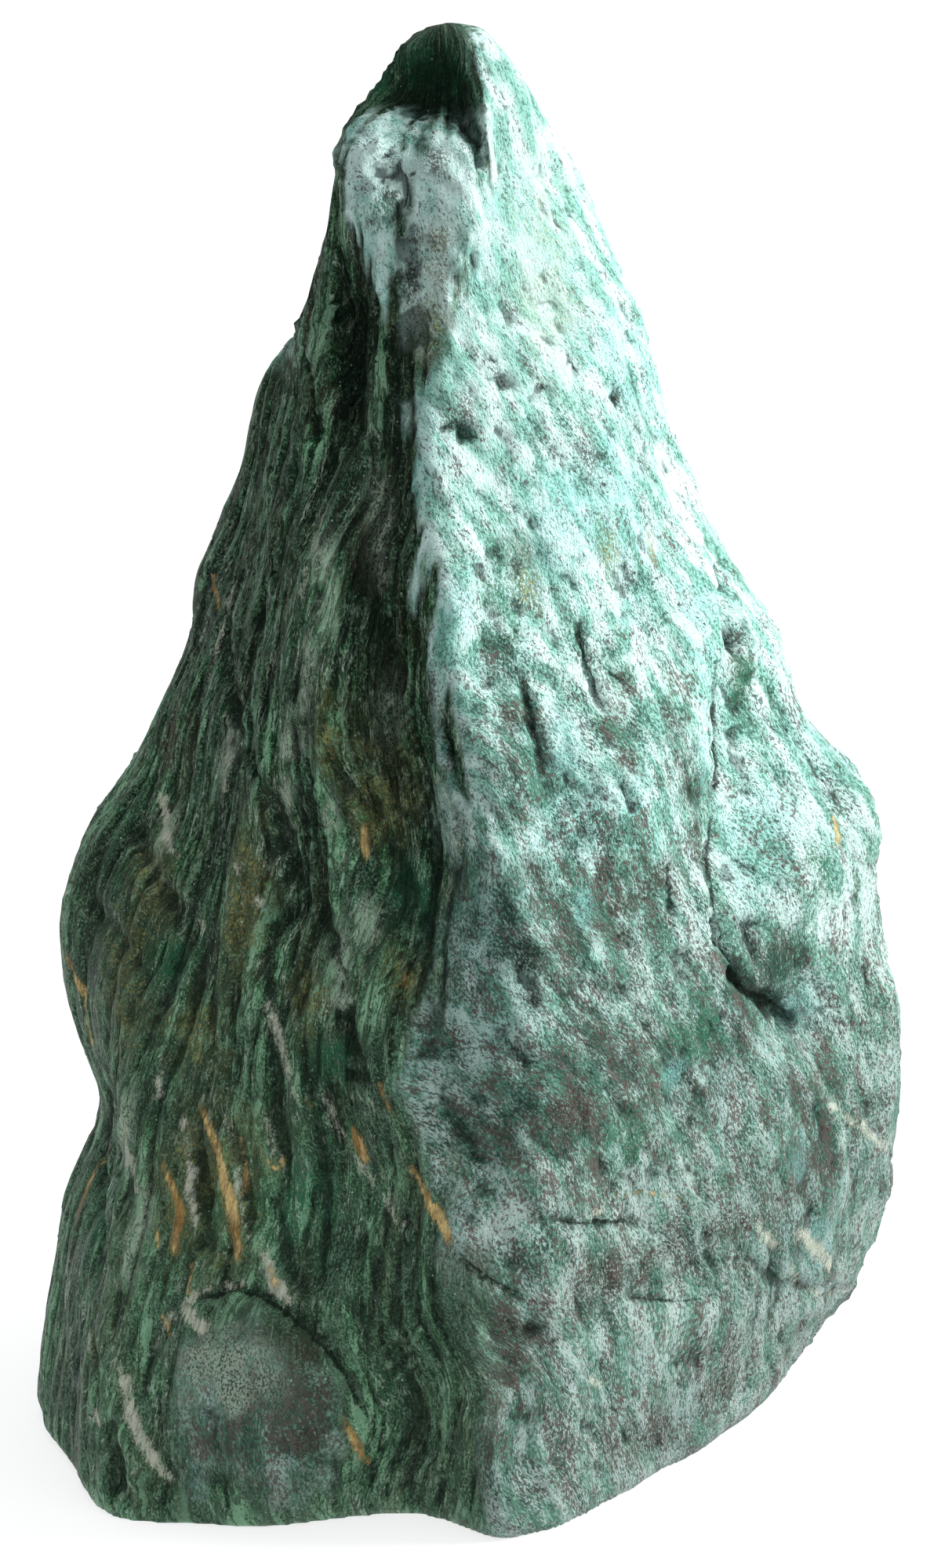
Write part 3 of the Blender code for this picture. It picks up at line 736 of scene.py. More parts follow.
def nearest_on(skin, line, reach):
    """The skin's points near a line: which they are, the line's nearest place, and how far."""
    near = np.flatnonzero(np.all((skin.points > line.min(axis=0) - reach)
                                 & (skin.points < line.max(axis=0) + reach), axis=1))
    away = skin.points[near][:, None, :] - line[None, :, :]
    distance = np.linalg.norm(away, axis=2)
    place = distance.argmin(axis=1)
    rows = np.arange(len(near))
    return near, place, distance[rows, place], away[rows, place]


def lumps(points, width, apart=(0, 0, 0)):
    """Smooth noise in -1 to 1 at points, with lumps of a width in mm. Another place apart gives
    other lumps."""
    return np.array([noise.noise(Vector(p) / width + Vector(apart)) for p in points])


def rough(points, width, octaves, apart=(0, 0, 0)):
    """Rough noise about 0 at points, with lumps of a width in mm and finer ones on them."""
    return np.array([noise.fractal(Vector(p) / width + Vector(apart), 1.0, 2.0, octaves) for p in points])


def smoothstep(values):
    """0 below 0, 1 above 1, and a soft ramp between."""
    values = np.clip(values, 0, 1)
    return values * values * (3 - 2 * values)


def profile(kind, side, width, height):
    """How far the skin moves out at a signed distance from a stroke."""
    if kind == "ridge":
        return height * np.exp(-(side / width) ** 2)
    if kind == "groove":
        return -height * np.exp(-(side / width) ** 2)
    lip = height * smoothstep(side / width + 0.5) * np.exp(-np.maximum(side, 0) / (LIP_FADE * width))
    if kind == "ledge":
        return lip
    return CRACK_LIP * lip - height * np.exp(-((side + CRACK_SHIFT * width) / width) ** 2)


def hidden_share(skin):
    """How much each point is turned away from the display view, from 0 to 1."""
    return smoothstep(skin.broad_facing() @ ahead_of_view() / 0.4)


def weather(skin):
    """Dents the hidden sides and knocks off their edges, but not near the foot."""
    hidden = hidden_share(skin) * smoothstep(skin.points[:, 2] / FOOT_KEPT)
    tall = skin.points * (1, 1, 0.5)
    far = skin.averaged(skin.points, EDGE_PASSES)
    edge = np.clip(((skin.points - far) * skin.facing).sum(axis=1), 0, EDGE_HEIGHT) / EDGE_HEIGHT
    push = -EDGE_CHIPS * edge * (0.5 + lumps(skin.points, CHIP_WIDTH))
    for width, depth, seed in DENTS:
        push += depth * lumps(tall, width, (seed, 0, 0))
    skin.points += skin.facing * (push * hidden)[:, None]
    skin.refresh()


def ends_of(place, line):
    """How far places on a line are from its nearer end, as a share of its length."""
    return np.minimum(place, len(line) - 1 - place) / len(line)


def press(skin, name, kind, width, height, points):
    """Presses one stroke into the skin. It wobbles, swells and fades in and out like a natural one."""
    line, facing, _ = laid(skin, points, FRONT)
    if len(line) < 2:
        raise ValueError(f"the stroke {name} misses the stone")
    reach = width * REACH[kind]
    near, place, distance, away = nearest_on(skin, line, reach)
    along = np.gradient(line, axis=0)
    left = np.cross(facing, along)
    side = np.where((away * left[place]).sum(axis=1) < 0, -distance, distance)
    if kind == "crack" or kind == "groove" and width < SLIT_WIDTH:
        taper = smoothstep(4 * ends_of(place, line))
        skin.note_seam(near, distance, side, (SEAM_SHARE * width - SEAM_END) * taper + SEAM_END)
    side += WOBBLE * width * rough(skin.points[near], WOBBLE_LENGTH, 2)
    ends = smoothstep(ends_of(place, line) / FADE_LENGTH + 0.15)
    beat = lumps(line, BEAT_LENGTH)[place]
    fade = smoothstep(2 - 2 * distance / reach)
    push = profile(kind, side, width * (1 + WIDTH_BEAT * beat), height)
    push = push * (1 + HEIGHT_BEAT * beat) * ends * fade
    skin.points[near] += skin.facing[near] * push[:, None]


def press_pit(skin, across, up, radius):
    """Presses one small slit, which leans like the flakes around it."""
    lean = PIT_LEAN * radius
    line, _, _ = laid(skin, [(across - lean, up + radius), (across + lean, up - radius)], FRONT)
    near, _, distance, _ = nearest_on(skin, line, radius * 3)
    push = -PIT_DEPTH * radius * np.exp(-(distance / (PIT_WIDTH * radius)) ** 2)
    skin.points[near] += skin.facing[near] * push[:, None]


def inside_by(places, corners):
    """How far places on the card lie inside an outline. It is below 0 outside."""
    corners = np.array(corners, float)
    following = np.roll(corners, -1, axis=0)
    distance = np.full(len(places), FAR)
    inside = np.zeros(len(places), bool)
    for (ax, ay), (bx, by) in zip(corners, following):
        edge = np.array([bx - ax, by - ay])
        away = places - (ax, ay)
        share = np.clip(away @ edge / (edge @ edge), 0, 1)
        distance = np.minimum(distance, np.linalg.norm(away - share[:, None] * edge, axis=1))
        crosses = (ay > places[:, 1]) != (by > places[:, 1])
        level = ax + (places[:, 1] - ay) * edge[0] / (edge[1] or 1e-9)
        inside ^= crosses & (places[:, 0] < level)
    return np.where(inside, distance, -distance)


def press_recess(skin, depth, wall, corners):
    """Presses the skin inside an outline straight back from the card."""
    ahead = ahead_of_view()
    inset = inside_by(card_places(skin.points), corners)
    seen = smoothstep(-(skin.facing @ ahead) / 0.35 + 0.2)
    push = depth * smoothstep(inset / wall + 0.5) * seen
    skin.points += ahead * push[:, None]


def grain_places(skin):
    """Each point's place in the grain, in mm: across the sheets, along their strike, and along the
    fibres. Folds bend it, and so do the listed bends."""
    points = skin.points
    across = np.array(GRAIN_ACROSS)
    along = np.array((GRAIN_ALONG - GRAIN_ACROSS * GRAIN_ALONG.dot(GRAIN_ACROSS)).normalized())
    strike = np.cross(along, across)
    grain = np.column_stack([points @ across, points @ strike, points @ along])
    for width, swing, seed in FOLDS:
        for axis, share in enumerate((1, 1, 0.3)):
            grain[:, axis] += swing * share * lumps(points, width, (seed, 37.1 * axis, 0))
    grain[:, :2] -= bent_by(skin)[:, None]
    return grain


def bent_by(skin):
    """How far the listed bends shift the hair or the flakes at each point, in mm."""
    shift = np.zeros(len(skin.points))
    for across, up, reach, lean in BENDS.values():
        away = skin.points - met(skin, across, up)
        shift += lean * away[:, 2] * np.exp(-(away**2).sum(axis=1) / reach**2)
    return shift


def combed_places(skin):
    """Each point's place on the drum that the hair follows, in mm. Swings and bends tip the hair."""
    points = skin.points
    rise = points[:, 2] / AXIS_TIP.z
    away = points[:, :2] - rise[:, None] * np.array(AXIS_TIP)[:2]
    radius = np.maximum(np.linalg.norm(away, axis=1), LEAST_RADIUS)
    shift = -bent_by(skin)
    for width, swing, seed in SWINGS:
        shift += swing * lumps(points, width, (seed, 0, 0))
    turn = np.arctan2(away[:, 1], away[:, 0]) + shift / radius
    return np.column_stack([DRUM_RADIUS * np.cos(turn), DRUM_RADIUS * np.sin(turn), points[:, 2]])


def marked(skin, marks):
    """How far inside the marks each point lies, in mm. It is below 0 outside them."""
    depth = np.full(len(skin.points), -OUTSIDE)
    for bearing, shapes in marks.items():
        for points in shapes.values():
            line, _, widths = laid(skin, points, bearing)
            near, place, distance, _ = nearest_on(skin, line, MARK_REACH)
            depth[near] = np.maximum(depth[near], widths[place, 0] - distance)
    return depth


def tinted(skin, tint):
    """How strongly one tint colours each point, from 0 to 1."""
    weight = np.zeros(len(skin.points))
    for across, up, wide, high in PATCHES[tint]:
        away = skin.points - met(skin, across, up)
        level = np.hypot(away[:, 0], away[:, 1]) / wide
        weight = np.maximum(weight, np.exp(-(level**2 + (away[:, 2] / high) ** 2)))
    if tint in CLOUDED:
        apart = (31.7 * (1 + CLOUDED.index(tint)), 0, 0)
        clouds = rough(skin.points * (1, 1, 0.6), CLOUD_WIDTH, 3, apart)
        weight = np.maximum(weight, hidden_share(skin) * smoothstep((clouds - 0.15) / 0.45))
    width, share = PATCH_RAGGEDNESS
    return smoothstep(weight * (1 + share * rough(skin.points, width, 3)))


def open_sheets(skin):
    """How much of the cleavage sheets shows at each point, from 0 to 1. The display side has its
    outlines, and elsewhere the faces that look along GRAIN_ACROSS show them."""
    facing = skin.broad_facing()
    squarely = np.abs(facing @ np.array(GRAIN_ACROSS))
    beyond = smoothstep((squarely - 0.5) / 0.3)
    places = card_places(skin.points)
    ragged = rough(combed_places(skin) / np.array(FINGERS), 1, 4)
    shown = np.zeros(len(places))
    for strength, edge, corners in SHEETS.values():
        inset = inside_by(places, corners) + (FINGER_REACH + FINGER_SPREAD * edge) * ragged
        shown = np.maximum(shown, strength * smoothstep(inset / edge + 0.5))
    front = smoothstep((0.45 - facing @ ahead_of_view()) / 0.35)
    return shown * front + beyond * (1 - front)


def stone_copy():
    """The CAD stone's mesh as a new, welded one."""
    form = bmesh.new()
    form.from_mesh(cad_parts[NODE].data)
    bmesh.ops.remove_doubles(form, verts=form.verts, dist=1e-6)
    mesh = bpy.data.meshes.new("stone_skin")
    form.to_mesh(mesh)
    form.free()
    return mesh


def remeshed(mesh, step):
    """A mesh with the same surface in even faces."""
    obj = bpy.data.objects.new("remesh", mesh)
    bpy.context.scene.collection.objects.link(obj)
    modifier = obj.modifiers.new("remesh", "REMESH")
    modifier.mode = "VOXEL"
    modifier.voxel_size = step
    even = plain_mesh(obj)
    bpy.data.objects.remove(obj)
    return even


def plain_mesh(obj):
    """The object's mesh as its modifiers leave it."""
    graph = bpy.context.evaluated_depsgraph_get()
    return bpy.data.meshes.new_from_object(obj.evaluated_get(graph))


def carved_skin(sizes):
    """The skin with the notch, strokes and pits, before the relief of the grain. The notch stretches
    the faces on its wall, so the skin gets even faces again after it."""
    skin = Skin(remeshed(stone_copy(), sizes.mesh_step))
    skin.smoothed(SMOOTH_PASSES[0])
    press_recess(skin, *NOTCH)
    skin.refresh()
    skin = Skin(remeshed(skin.mesh, sizes.mesh_step))
    skin.smoothed(SMOOTH_PASSES[1])
    weather(skin)
    for name, stroke in STROKES.items():
        press(skin, name, *stroke)
    for pit in PITS:
        press_pit(skin, *pit)
    np.maximum(skin.points[:, 2], 0, out=skin.points[:, 2])
    skin.refresh()
    return skin


def boldness(skin):
    """How high the grain's relief is at each point: higher on the hidden sides, and none at the tip."""
    beside = np.linalg.norm(skin.points[:, :2] - np.array(AXIS_TIP)[:2], axis=1)
    slender = beside + AXIS_TIP.z - skin.points[:, 2]
    return (1 + (HIDDEN_RELIEF - 1) * hidden_share(skin)) * smoothstep(slender / SLENDER)


def relief_tree():
    """Geometry Nodes: moves each point out or in by ribs, terraces and lumps that follow the grain."""
    tree = bpy.data.node_groups.new("schist_relief", "GeometryNodeTree")
    put = partial(add, tree)
    face = tree.interface
    face.new_socket("Geometry", in_out="INPUT", socket_type="NodeSocketGeometry")
    for name in (*RELIEF_INPUTS, "Seed"):
        face.new_socket(name, in_out="INPUT", socket_type="NodeSocketFloat")
    face.new_socket("Material", in_out="INPUT", socket_type="NodeSocketMaterial")
    face.new_socket("Geometry", in_out="OUTPUT", socket_type="NodeSocketGeometry")
    given = put("NodeGroupInput")
    grain = put("GeometryNodeInputNamedAttribute", "grain", data_type="FLOAT_VECTOR")["Attribute"]
    comb = put("GeometryNodeInputNamedAttribute", "comb", data_type="FLOAT_VECTOR")["Attribute"]
    cleave = put("GeometryNodeInputNamedAttribute", "cleavage", data_type="FLOAT")["Attribute"]

    def field(vector, width, stretch, detail, offset):
        """Noise in -1 to 1 whose bumps are width wide, and longer by stretch along each way of a vector."""
        per_mm = put(MATH, MM, width, operation="DIVIDE")[0]
        scaled = put(VECTOR_MATH, vector, [1 / s for s in stretch], operation="MULTIPLY")[0]
        moved = put(VECTOR_MATH, scaled, more={"Scale": per_mm}, operation="SCALE")[0]
        shifted = put(MATH, given["Seed"], 3.17, offset, operation="MULTIPLY_ADD")[0]
        placed = put(VECTOR_MATH, moved, shifted, operation="ADD")[0]
        bumps = put(NOISE, more={"Vector": placed, "Scale": 1.0, "Detail": detail})[0]
        return put(MATH, bumps, 2.0, -1.0, operation="MULTIPLY_ADD")[0]

    # Faces that cut across the grain show the sheets' edges: long low ribs, and narrow furrows that
    # run between them.
    ribs = field(comb, given["Rib Pitch"], (1, 1, 7), 2.0, 0.0)
    ribs = put(MATH, ribs, given["Rib Height"], operation="MULTIPLY")[0]
    small = field(comb, given["Lump Width"], (1, 1, 2.5), 2.0, 97.0)
    cut = put(MATH, small, given["Lump Height"], ribs, operation="MULTIPLY_ADD")[0]
    for stretch, share, offset in (((1.0, 1.0, 10.0), 1.0, 7.0), ((0.55, 0.55, 6.0), 0.6, 19.0)):
        line = put(MATH, field(comb, given["Rib Pitch"], stretch, 1.0, offset), operation="ABSOLUTE")[0]
        wall = put(MAP_RANGE, line, 0.0, 0.13, -share, 0.0, interpolation_type="SMOOTHSTEP")[0]
        cut = put(MATH, wall, given["Furrow Depth"], cut, operation="MULTIPLY_ADD")[0]
    # Cleavage faces are terraces: treads at even heights, with short steep steps between them.
    slope = field(grain, given["Terrace Width"], (1.4, 1, 1.7), 3.0, 43.0)
    slope = put(MATH, slope, 4.0, operation="MULTIPLY")[0]
    tread = put(MATH, slope, operation="FLOOR")[0]
    rest = put(MATH, slope, tread, operation="SUBTRACT")[0]
    step = put(MAP_RANGE, rest, 0.0, 0.3, 0.0, 1.0, interpolation_type="SMOOTHSTEP")[0]
    level = put(MATH, tread, step, operation="ADD")[0]
    terraced = put(MATH, level, given["Terrace Step"], operation="MULTIPLY")[0]
    # On the treads lie scales, which overlap like shingles.
    per_mm = put(MATH, MM, given["Scale Width"], operation="DIVIDE")[0]
    place = put(VECTOR_MATH, grain, (0.8, 1.0, 0.5), operation="MULTIPLY")[0]
    place = put(VECTOR_MATH, place, more={"Scale": per_mm}, operation="SCALE")[0]
    cells = put(VORONOI, more={"Vector": place, "Scale": 1.0})
    inside = put(VECTOR_MATH, place, cells["Position"], operation="SUBTRACT")[0]
    lean = put(VECTOR_MATH, cells["Color"], (0.5, 1.1, 0.9), operation="SUBTRACT")[0]
    shingle = put(VECTOR_MATH, inside, lean, operation="DOT_PRODUCT")["Value"]
    terraced = put(MATH, shingle, given["Scale Height"], terraced, operation="MULTIPLY_ADD")[0]
    small = field(grain, given["Lump Width"], (1, 0.75, 1.5), 2.0, 71.0)
    terraced = put(MATH, small, given["Lump Height"], terraced, operation="MULTIPLY_ADD")[0]
    mixed = put(MIX, cleave, more={2: cut, 3: terraced})[0]
    # The sawn foot stays flat, and so does a narrow margin over it.
    height = put("ShaderNodeSeparateXYZ", put("GeometryNodeInputPosition")[0])[2]
    worn = put(MAP_RANGE, height, 0.0, 3 * MM, 0.0, 1.0)[0]
    bold = put("GeometryNodeInputNamedAttribute", "bold", data_type="FLOAT")["Attribute"]
    rise = put(MATH, put(MATH, mixed, bold, operation="MULTIPLY")[0], worn, operation="MULTIPLY")[0]
    normal = put("GeometryNodeInputNormal")[0]
    offset = put(VECTOR_MATH, normal, more={"Scale": rise}, operation="SCALE")[0]
    moved = put("GeometryNodeSetPosition", given["Geometry"], more={"Offset": offset})[0]
    real = put("GeometryNodeRealizeInstances", moved)[0]
    finished = put("GeometryNodeSetMaterial", real, more={"Material": given["Material"]})[0]
    put("NodeGroupOutput", finished)
    return tree


def with_nodes(mesh, tree, settings):
    """The mesh after a Geometry Nodes tree, with the tree's inputs set by name."""
    obj = bpy.data.objects.new(tree.name, mesh)
    bpy.context.scene.collection.objects.link(obj)
    modifier = obj.modifiers.new(tree.name, "NODES")
    modifier.node_group = tree
    for item in tree.interface.items_tree:
        if item.in_out == "INPUT" and item.name in settings:
            modifier[item.identifier] = settings[item.name]
    made = plain_mesh(obj)
    bpy.data.objects.remove(obj)
    return made


def schist_material(colours):
    """Fuchsite mica schist, broken and weathered: a foliated rock of chromium mica. Cut across its
    sheets it looks like combed green hair. Along them it is pearly, scaly and mint green, with
    dark purple-brown flakes. Bands, patches, veins and ochre lenses come on top."""
    material = bpy.data.materials.new("fuchsite_mica_schist")
    material.use_nodes = True
    tree = material.node_tree
    put = partial(add, tree)
    shader = tree.nodes["Principled BSDF"]
    shade = {name: (*getattr(colours, name), 1.0) for name in StoneColours.__annotations__}
    grain, comb = (put("ShaderNodeAttribute", attribute_name=name)["Vector"] for name in ("grain", "comb"))
    cleave, crest, dark_tone_and_shade, pearly, seam_side, seam_width, vein_depth, ochre_depth = (
        put("ShaderNodeAttribute", attribute_name=name)["Fac"]
        for name in ("cleavage", "crest", "dark_tone_and_shade", "pale", "seam_side", "seam_width", "vein", "ochre"))
    place = put("ShaderNodeTexCoord")["Object"]
    place = put(VECTOR_MATH, place, more={"Scale": 1 / MM}, operation="SCALE")[0]
    height = put("ShaderNodeSeparateXYZ", place)[2]
    low = put(MAP_RANGE, height, *DULL_HEIGHTS, 0.0, 1.0, interpolation_type="SMOOTHSTEP")[0]

    def field(vector, size, detail, roughness, seed):
        """Noise in 0 to 1 whose marks are size mm along each way of a vector in mm."""
        apart = [17.3 * seed] * 3
        placed = put(VECTOR_MATH, vector, [1 / s for s in size], apart, operation="MULTIPLY_ADD")[0]
        fineness = {"Scale": 1.0, "Detail": detail, "Roughness": roughness}
        return put(NOISE, more={"Vector": placed, **fineness})[0]

    def strands(vector, size, width, seed):
        """Long thin lines along the fibres, where a slow noise passes its middle value."""
        slow = field(vector, size, 2.0, 0.55, seed)
        away = put(MATH, put(MATH, slow, 0.5, operation="SUBTRACT")[0], operation="ABSOLUTE")[0]
        return put(MAP_RANGE, away, width, 0.3 * width, 0.0, 1.0, interpolation_type="SMOOTHSTEP")[0]

    def cells(vector, size):
        """Cells of size mm along each way of a vector in mm, and the vector that they are cut from."""
        placed = put(VECTOR_MATH, vector, [1 / s for s in size], operation="MULTIPLY")[0]
        return put(VORONOI, more={"Vector": placed, "Scale": 1.0}), placed

    def laid_on(surface, name, share, strength=1.0):
        """The surface with one colour laid on it by a share of a strength."""
        if strength < 1:
            share = put(MATH, share, strength, operation="MULTIPLY")[0]
        return put(MIX, share, more={6: surface, 7: shade[name]}, data_type="RGBA")[2]

    def flecks(size, gather, cover, sharp, seed):
        """Small flakes of size mm, which crowd together where gather is low. They cover more of
        the face as cover rises, and sharp is the width of their edge as a share of the noise."""
        fine = field(grain, size, 3.0, 0.68, seed)
        edge = put(MATH, gather, -0.58, cover, operation="MULTIPLY_ADD")[0]
        over = put(MATH, edge, fine, operation="SUBTRACT")[0]
        return put(MAP_RANGE, over, -sharp, sharp, 0.0, 1.0, interpolation_type="SMOOTHSTEP")[0]

    # Small wisps 3 mm long fray the hair by up to half a millimetre.
    wisps = put(VECTOR_MATH, comb, [1 / s for s in (1.6, 1.6, 3.2)], operation="MULTIPLY")[0]
    wisps = put(NOISE, more={"Vector": wisps, "Scale": 1.0, "Detail": 2.0})[1]
    wisps = put(VECTOR_MATH, wisps, (0.5, 0.5, 0.5), operation="SUBTRACT")[0]
    frayed = put(VECTOR_MATH, wisps, (0.9, 0.9, 2.0), comb, operation="MULTIPLY_ADD")[0]
    # Fibres are 0.34 mm wide and 3 mm long, in bands 2.8 mm wide and 16 mm long, with blotches
    # 1.4 mm wide. The flakes of the open sheets gather in clusters, crowds and stains 3 to 6 mm wide
    # that are drawn out along the grain. Clouds of colour are 17 mm wide, and grit 0.3 mm.
    fibre = field(frayed, (0.34, 0.34, 3.0), 3.0, 0.65, 1.0)
    band = field(comb, (2.8, 2.8, 16.0), 4.0, 0.62, 2.0)
    blotch = field(frayed, (1.4, 1.4, 3.2), 3.0, 0.65, 3.0)
    cluster = field(grain, (3.8, 3.0, 9.5), 3.0, 0.6, 4.0)
    crowd = field(grain, (5.6, 4.4, 14.0), 2.0, 0.6, 5.0)
    stain = field(grain, (3.2, 2.8, 7.5), 3.0, 0.65, 20.0)
    cloud = field(place, (17.0, 17.0, 21.0), 2.0, 0.6, 6.0)
    grit = field(place, (0.3, 0.3, 0.4), 2.0, 0.6, 7.0)

    # Faces across the grain: dark and silvery fibres in bands, with painted shade in the furrows and
    # painted light on the crests.
    combed = put(MATH, band, 0.54, operation="MULTIPLY")[0]
    for part, share in ((fibre, 0.27), (blotch, 0.22), (grit, 0.34), (crest, 0.055)):
        combed = put(MATH, part, share, combed, operation="MULTIPLY_ADD")[0]
    combs = laid_on(shade["green"], "deep", put(MAP_RANGE, combed, 0.715, 0.64, 0.0, 1.0)[0])
    combs = laid_on(combs, "silver", put(MAP_RANGE, combed, 0.71, 0.79, 0.0, 1.0)[0])
    # Weathered and shaded bands, 6 to 7 mm wide and about 25 mm long.
    weathered = field(comb, (6.0, 6.0, 22.0), 3.0, 0.6, 8.0)
    combs = laid_on(combs, "olive", put(MAP_RANGE, weathered, 0.48, 0.62, 0.0, 0.75)[0])
    shaded = field(comb, (7.0, 7.0, 26.0), 3.0, 0.6, 22.0)
    combs = laid_on(combs, "deep", put(MAP_RANGE, shaded, 0.5, 0.6, 0.0, 0.75)[0])
    # Single pale fibres with gaps in them, and single dark ones.
    pale_lines = put(MATH, strands(frayed, (2.0, 2.0, 13.0), 0.026, 9.0),
                     strands(frayed, (1.1, 1.1, 7.0), 0.03, 10.0), operation="MAXIMUM")[0]
    gaps = put(MAP_RANGE, field(comb, (2.6, 2.6, 6.0), 3.0, 0.65, 11.0), 0.46, 0.6, 0.0, 0.75)[0]
    for share in (put(MAP_RANGE, grit, 0.4, 0.56, 0.3, 1.0)[0], gaps):
        pale_lines = put(MATH, pale_lines, share, operation="MULTIPLY")[0]
    combs = laid_on(combs, "hair", pale_lines)
    dark_lines = put(MATH, strands(frayed, (2.8, 2.8, 20.0), 0.045, 12.0),
                     strands(frayed, (1.4, 1.4, 8.0), 0.035, 13.0), operation="MAXIMUM")[0]
    combs = laid_on(combs, "deep", dark_lines, 0.75)
    # Painted shade: the dusk patches darken the cut faces.
    combs = laid_on(combs, "deep", dark_tone_and_shade, 0.35)
    # Loose silvery scales 0.3 mm wide, and more silver low on the stone.
    scales_shown = put(MATH, low, 0.04, 0.69, operation="MULTIPLY_ADD")[0]
    combs = laid_on(combs, "silver", flecks((0.32, 0.32, 0.5), blotch, scales_shown, 0.07, 18.0), 0.5)
    combs = laid_on(combs, "silver", low, 0.1)

    # Cleavage faces: pale sheets under flakes of moss green, dark green and purple brown. Low on
    # the stone they are duller, and more of them is covered. So they are in the dusk patches, which are
    # partly painted shade.
    sheets = laid_on(shade["mint"], "pale", put(MAP_RANGE, cluster, 0.42, 0.58, 0.0, 1.0)[0])
    sheets = laid_on(sheets, "turquoise", put(MAP_RANGE, cloud, 0.48, 0.68, 0.0, 0.45)[0])
    sheets = laid_on(sheets, "dull", low, 0.62)
    sheets = laid_on(sheets, "moss", dark_tone_and_shade, 0.45)
    # Painted light: the pale patches lighten the sheets of the lump and the band under the tip.
    sheets = laid_on(sheets, "pale", pearly)
    covered = put(MAP_RANGE, height, *CLEAN_HEIGHTS, 0.45, -0.85)[0]
    covered = put(MATH, covered, dark_tone_and_shade, operation="ADD")[0]
    for name, size, gather, cover, more_cover, seed in (
            ("moss", FLAKE_SIZE, cluster, 0.724, 0.075, 14.0),
            ("forest", (0.34, 0.3, 0.7), crowd, 0.684, 0.07, 15.0),
            ("purple", (0.48, 0.42, 0.8), stain, 0.698, 0.055, 16.0)):
        cover = put(MATH, covered, more_cover, cover, operation="MULTIPLY_ADD")[0]
        sheets = laid_on(sheets, name, flecks(size, gather, cover, 0.045, seed), 0.82)
    # Dark broken streaks along the grain, mostly in the dusk patches, which are partly painted shade.
    streaks = strands(grain, (2.6, 2.0, 11.0), 0.07, 21.0)
    for share in (put(MAP_RANGE, crowd, 0.62, 0.42, 0.0, 1.0)[0],
                  put(MATH, dark_tone_and_shade, 0.6, 0.06, operation="MULTIPLY_ADD")[0],
                  put(MAP_RANGE, grit, 0.4, 0.55, 0.3, 1.0)[0]):
        streaks = put(MATH, streaks, share, operation="MULTIPLY")[0]
    sheets = laid_on(sheets, "forest", streaks)
    # The pale open sheets and the dark cut faces are partly the schist's own colours and partly painted
    # light and shade: the sheets' paleness holds a painted pearly sheen, and the cut faces are painted
    # darker.
    surface = put(MIX, cleave, more={6: combs, 7: sheets}, data_type="RGBA")[2]

    # Tinted patches, broken up by the fibres and the flakes. Gold scales glitter in the khaki ones.
    flake = field(grain, FLAKE_SIZE, 3.0, 0.68, 14.0)
    breakup = put(MIX, cleave, more={2: fibre, 3: flake})[0]
    breakup = put(MATH, breakup, 0.6, grit, operation="MULTIPLY_ADD")[0]
    breakup = put(MAP_RANGE, breakup, 0.88, 0.76, 0.06, 1.0)[0]
    # Where forest and emerald patches lie along cracks, in hollows and under the overhang, they are painted
    # shade.
    broken = {}
    for tint, strength in (("brown", 0.8), ("khaki", 0.7), ("forest", 0.8), ("emerald", 0.75),
                           ("turquoise", 0.5), ("hair", 0.6)):
        weight = put("ShaderNodeAttribute", attribute_name=tint)["Fac"]
        broken[tint] = put(MATH, weight, breakup, operation="MULTIPLY")[0]
        surface = laid_on(surface, tint, broken[tint], strength)
    specks = flecks((0.5, 0.5, 0.6), blotch, 0.73, 0.04, 17.0)
    specks = put(MATH, specks, broken["khaki"], operation="MULTIPLY")[0]
    surface = laid_on(surface, "gold", specks, 0.7)

    # Painted shade: the hollows and furrows are darkened with deep green.
    painted_hollow_shade = put(MAP_RANGE, crest, -0.15, -1.3, 0.0, 0.65, interpolation_type="SMOOTHSTEP")[0]
    surface = laid_on(surface, "deep", painted_hollow_shade)

    # Cracks are painted dark inside, as painted shade in the slits, with edges that grit and blotches fray.
    gap = put(MATH, seam_side, operation="ABSOLUTE")[0]
    for part, share in ((grit, 0.8), (blotch, 1.0)):
        gap = put(MATH, part, share, gap, operation="MULTIPLY_ADD")[0]
    seam = put(MATH, seam_width, gap, operation="SUBTRACT")[0]
    seam = put(MAP_RANGE, seam, -1.0, -0.73, 0.0, 0.85, interpolation_type="SMOOTHSTEP")[0]
    surface = laid_on(surface, "deep", seam)

    # Veins and ochre lenses have ragged edges that fray along the fibres.
    fray = put(MATH, fibre, 1.2, -2.4, operation="MULTIPLY_ADD")[0]
    for part, share in ((grit, 1.2), (blotch, 2.4)):
        fray = put(MATH, part, share, fray, operation="MULTIPLY_ADD")[0]
    vein = put(MATH, fray, 1.5, vein_depth, operation="MULTIPLY_ADD")[0]
    vein = put(MAP_RANGE, vein, -0.4, 0.8, 0.0, 0.85, interpolation_type="SMOOTHSTEP")[0]
    surface = laid_on(surface, "vein", vein)
    ochre = put(MATH, fray, 0.6, ochre_depth, operation="MULTIPLY_ADD")[0]
    ochre = put(MAP_RANGE, ochre, -0.3, 0.45, 0.0, 0.95, interpolation_type="SMOOTHSTEP")[0]
    # The lenses are ochre and cream, with brown blotches and a khaki rim.
    rust = put(MATH, field(place, (6.0, 6.0, 8.0), 1.0, 0.5, 19.0), 2.0, fibre, operation="MULTIPLY_ADD")[0]
    stained = laid_on(shade["ochre"], "cream", put(MAP_RANGE, rust, 1.3, 1.6, 0.0, 1.0)[0])
    stained = laid_on(stained, "brown", put(MAP_RANGE, blotch, 0.46, 0.62, 0.0, 0.55)[0])
    stained = laid_on(stained, "khaki", put(MAP_RANGE, ochre, 0.9, 0.4, 0.0, 0.8)[0])
    surface = put(MIX, ochre, more={6: surface, 7: stained}, data_type="RGBA")[2]

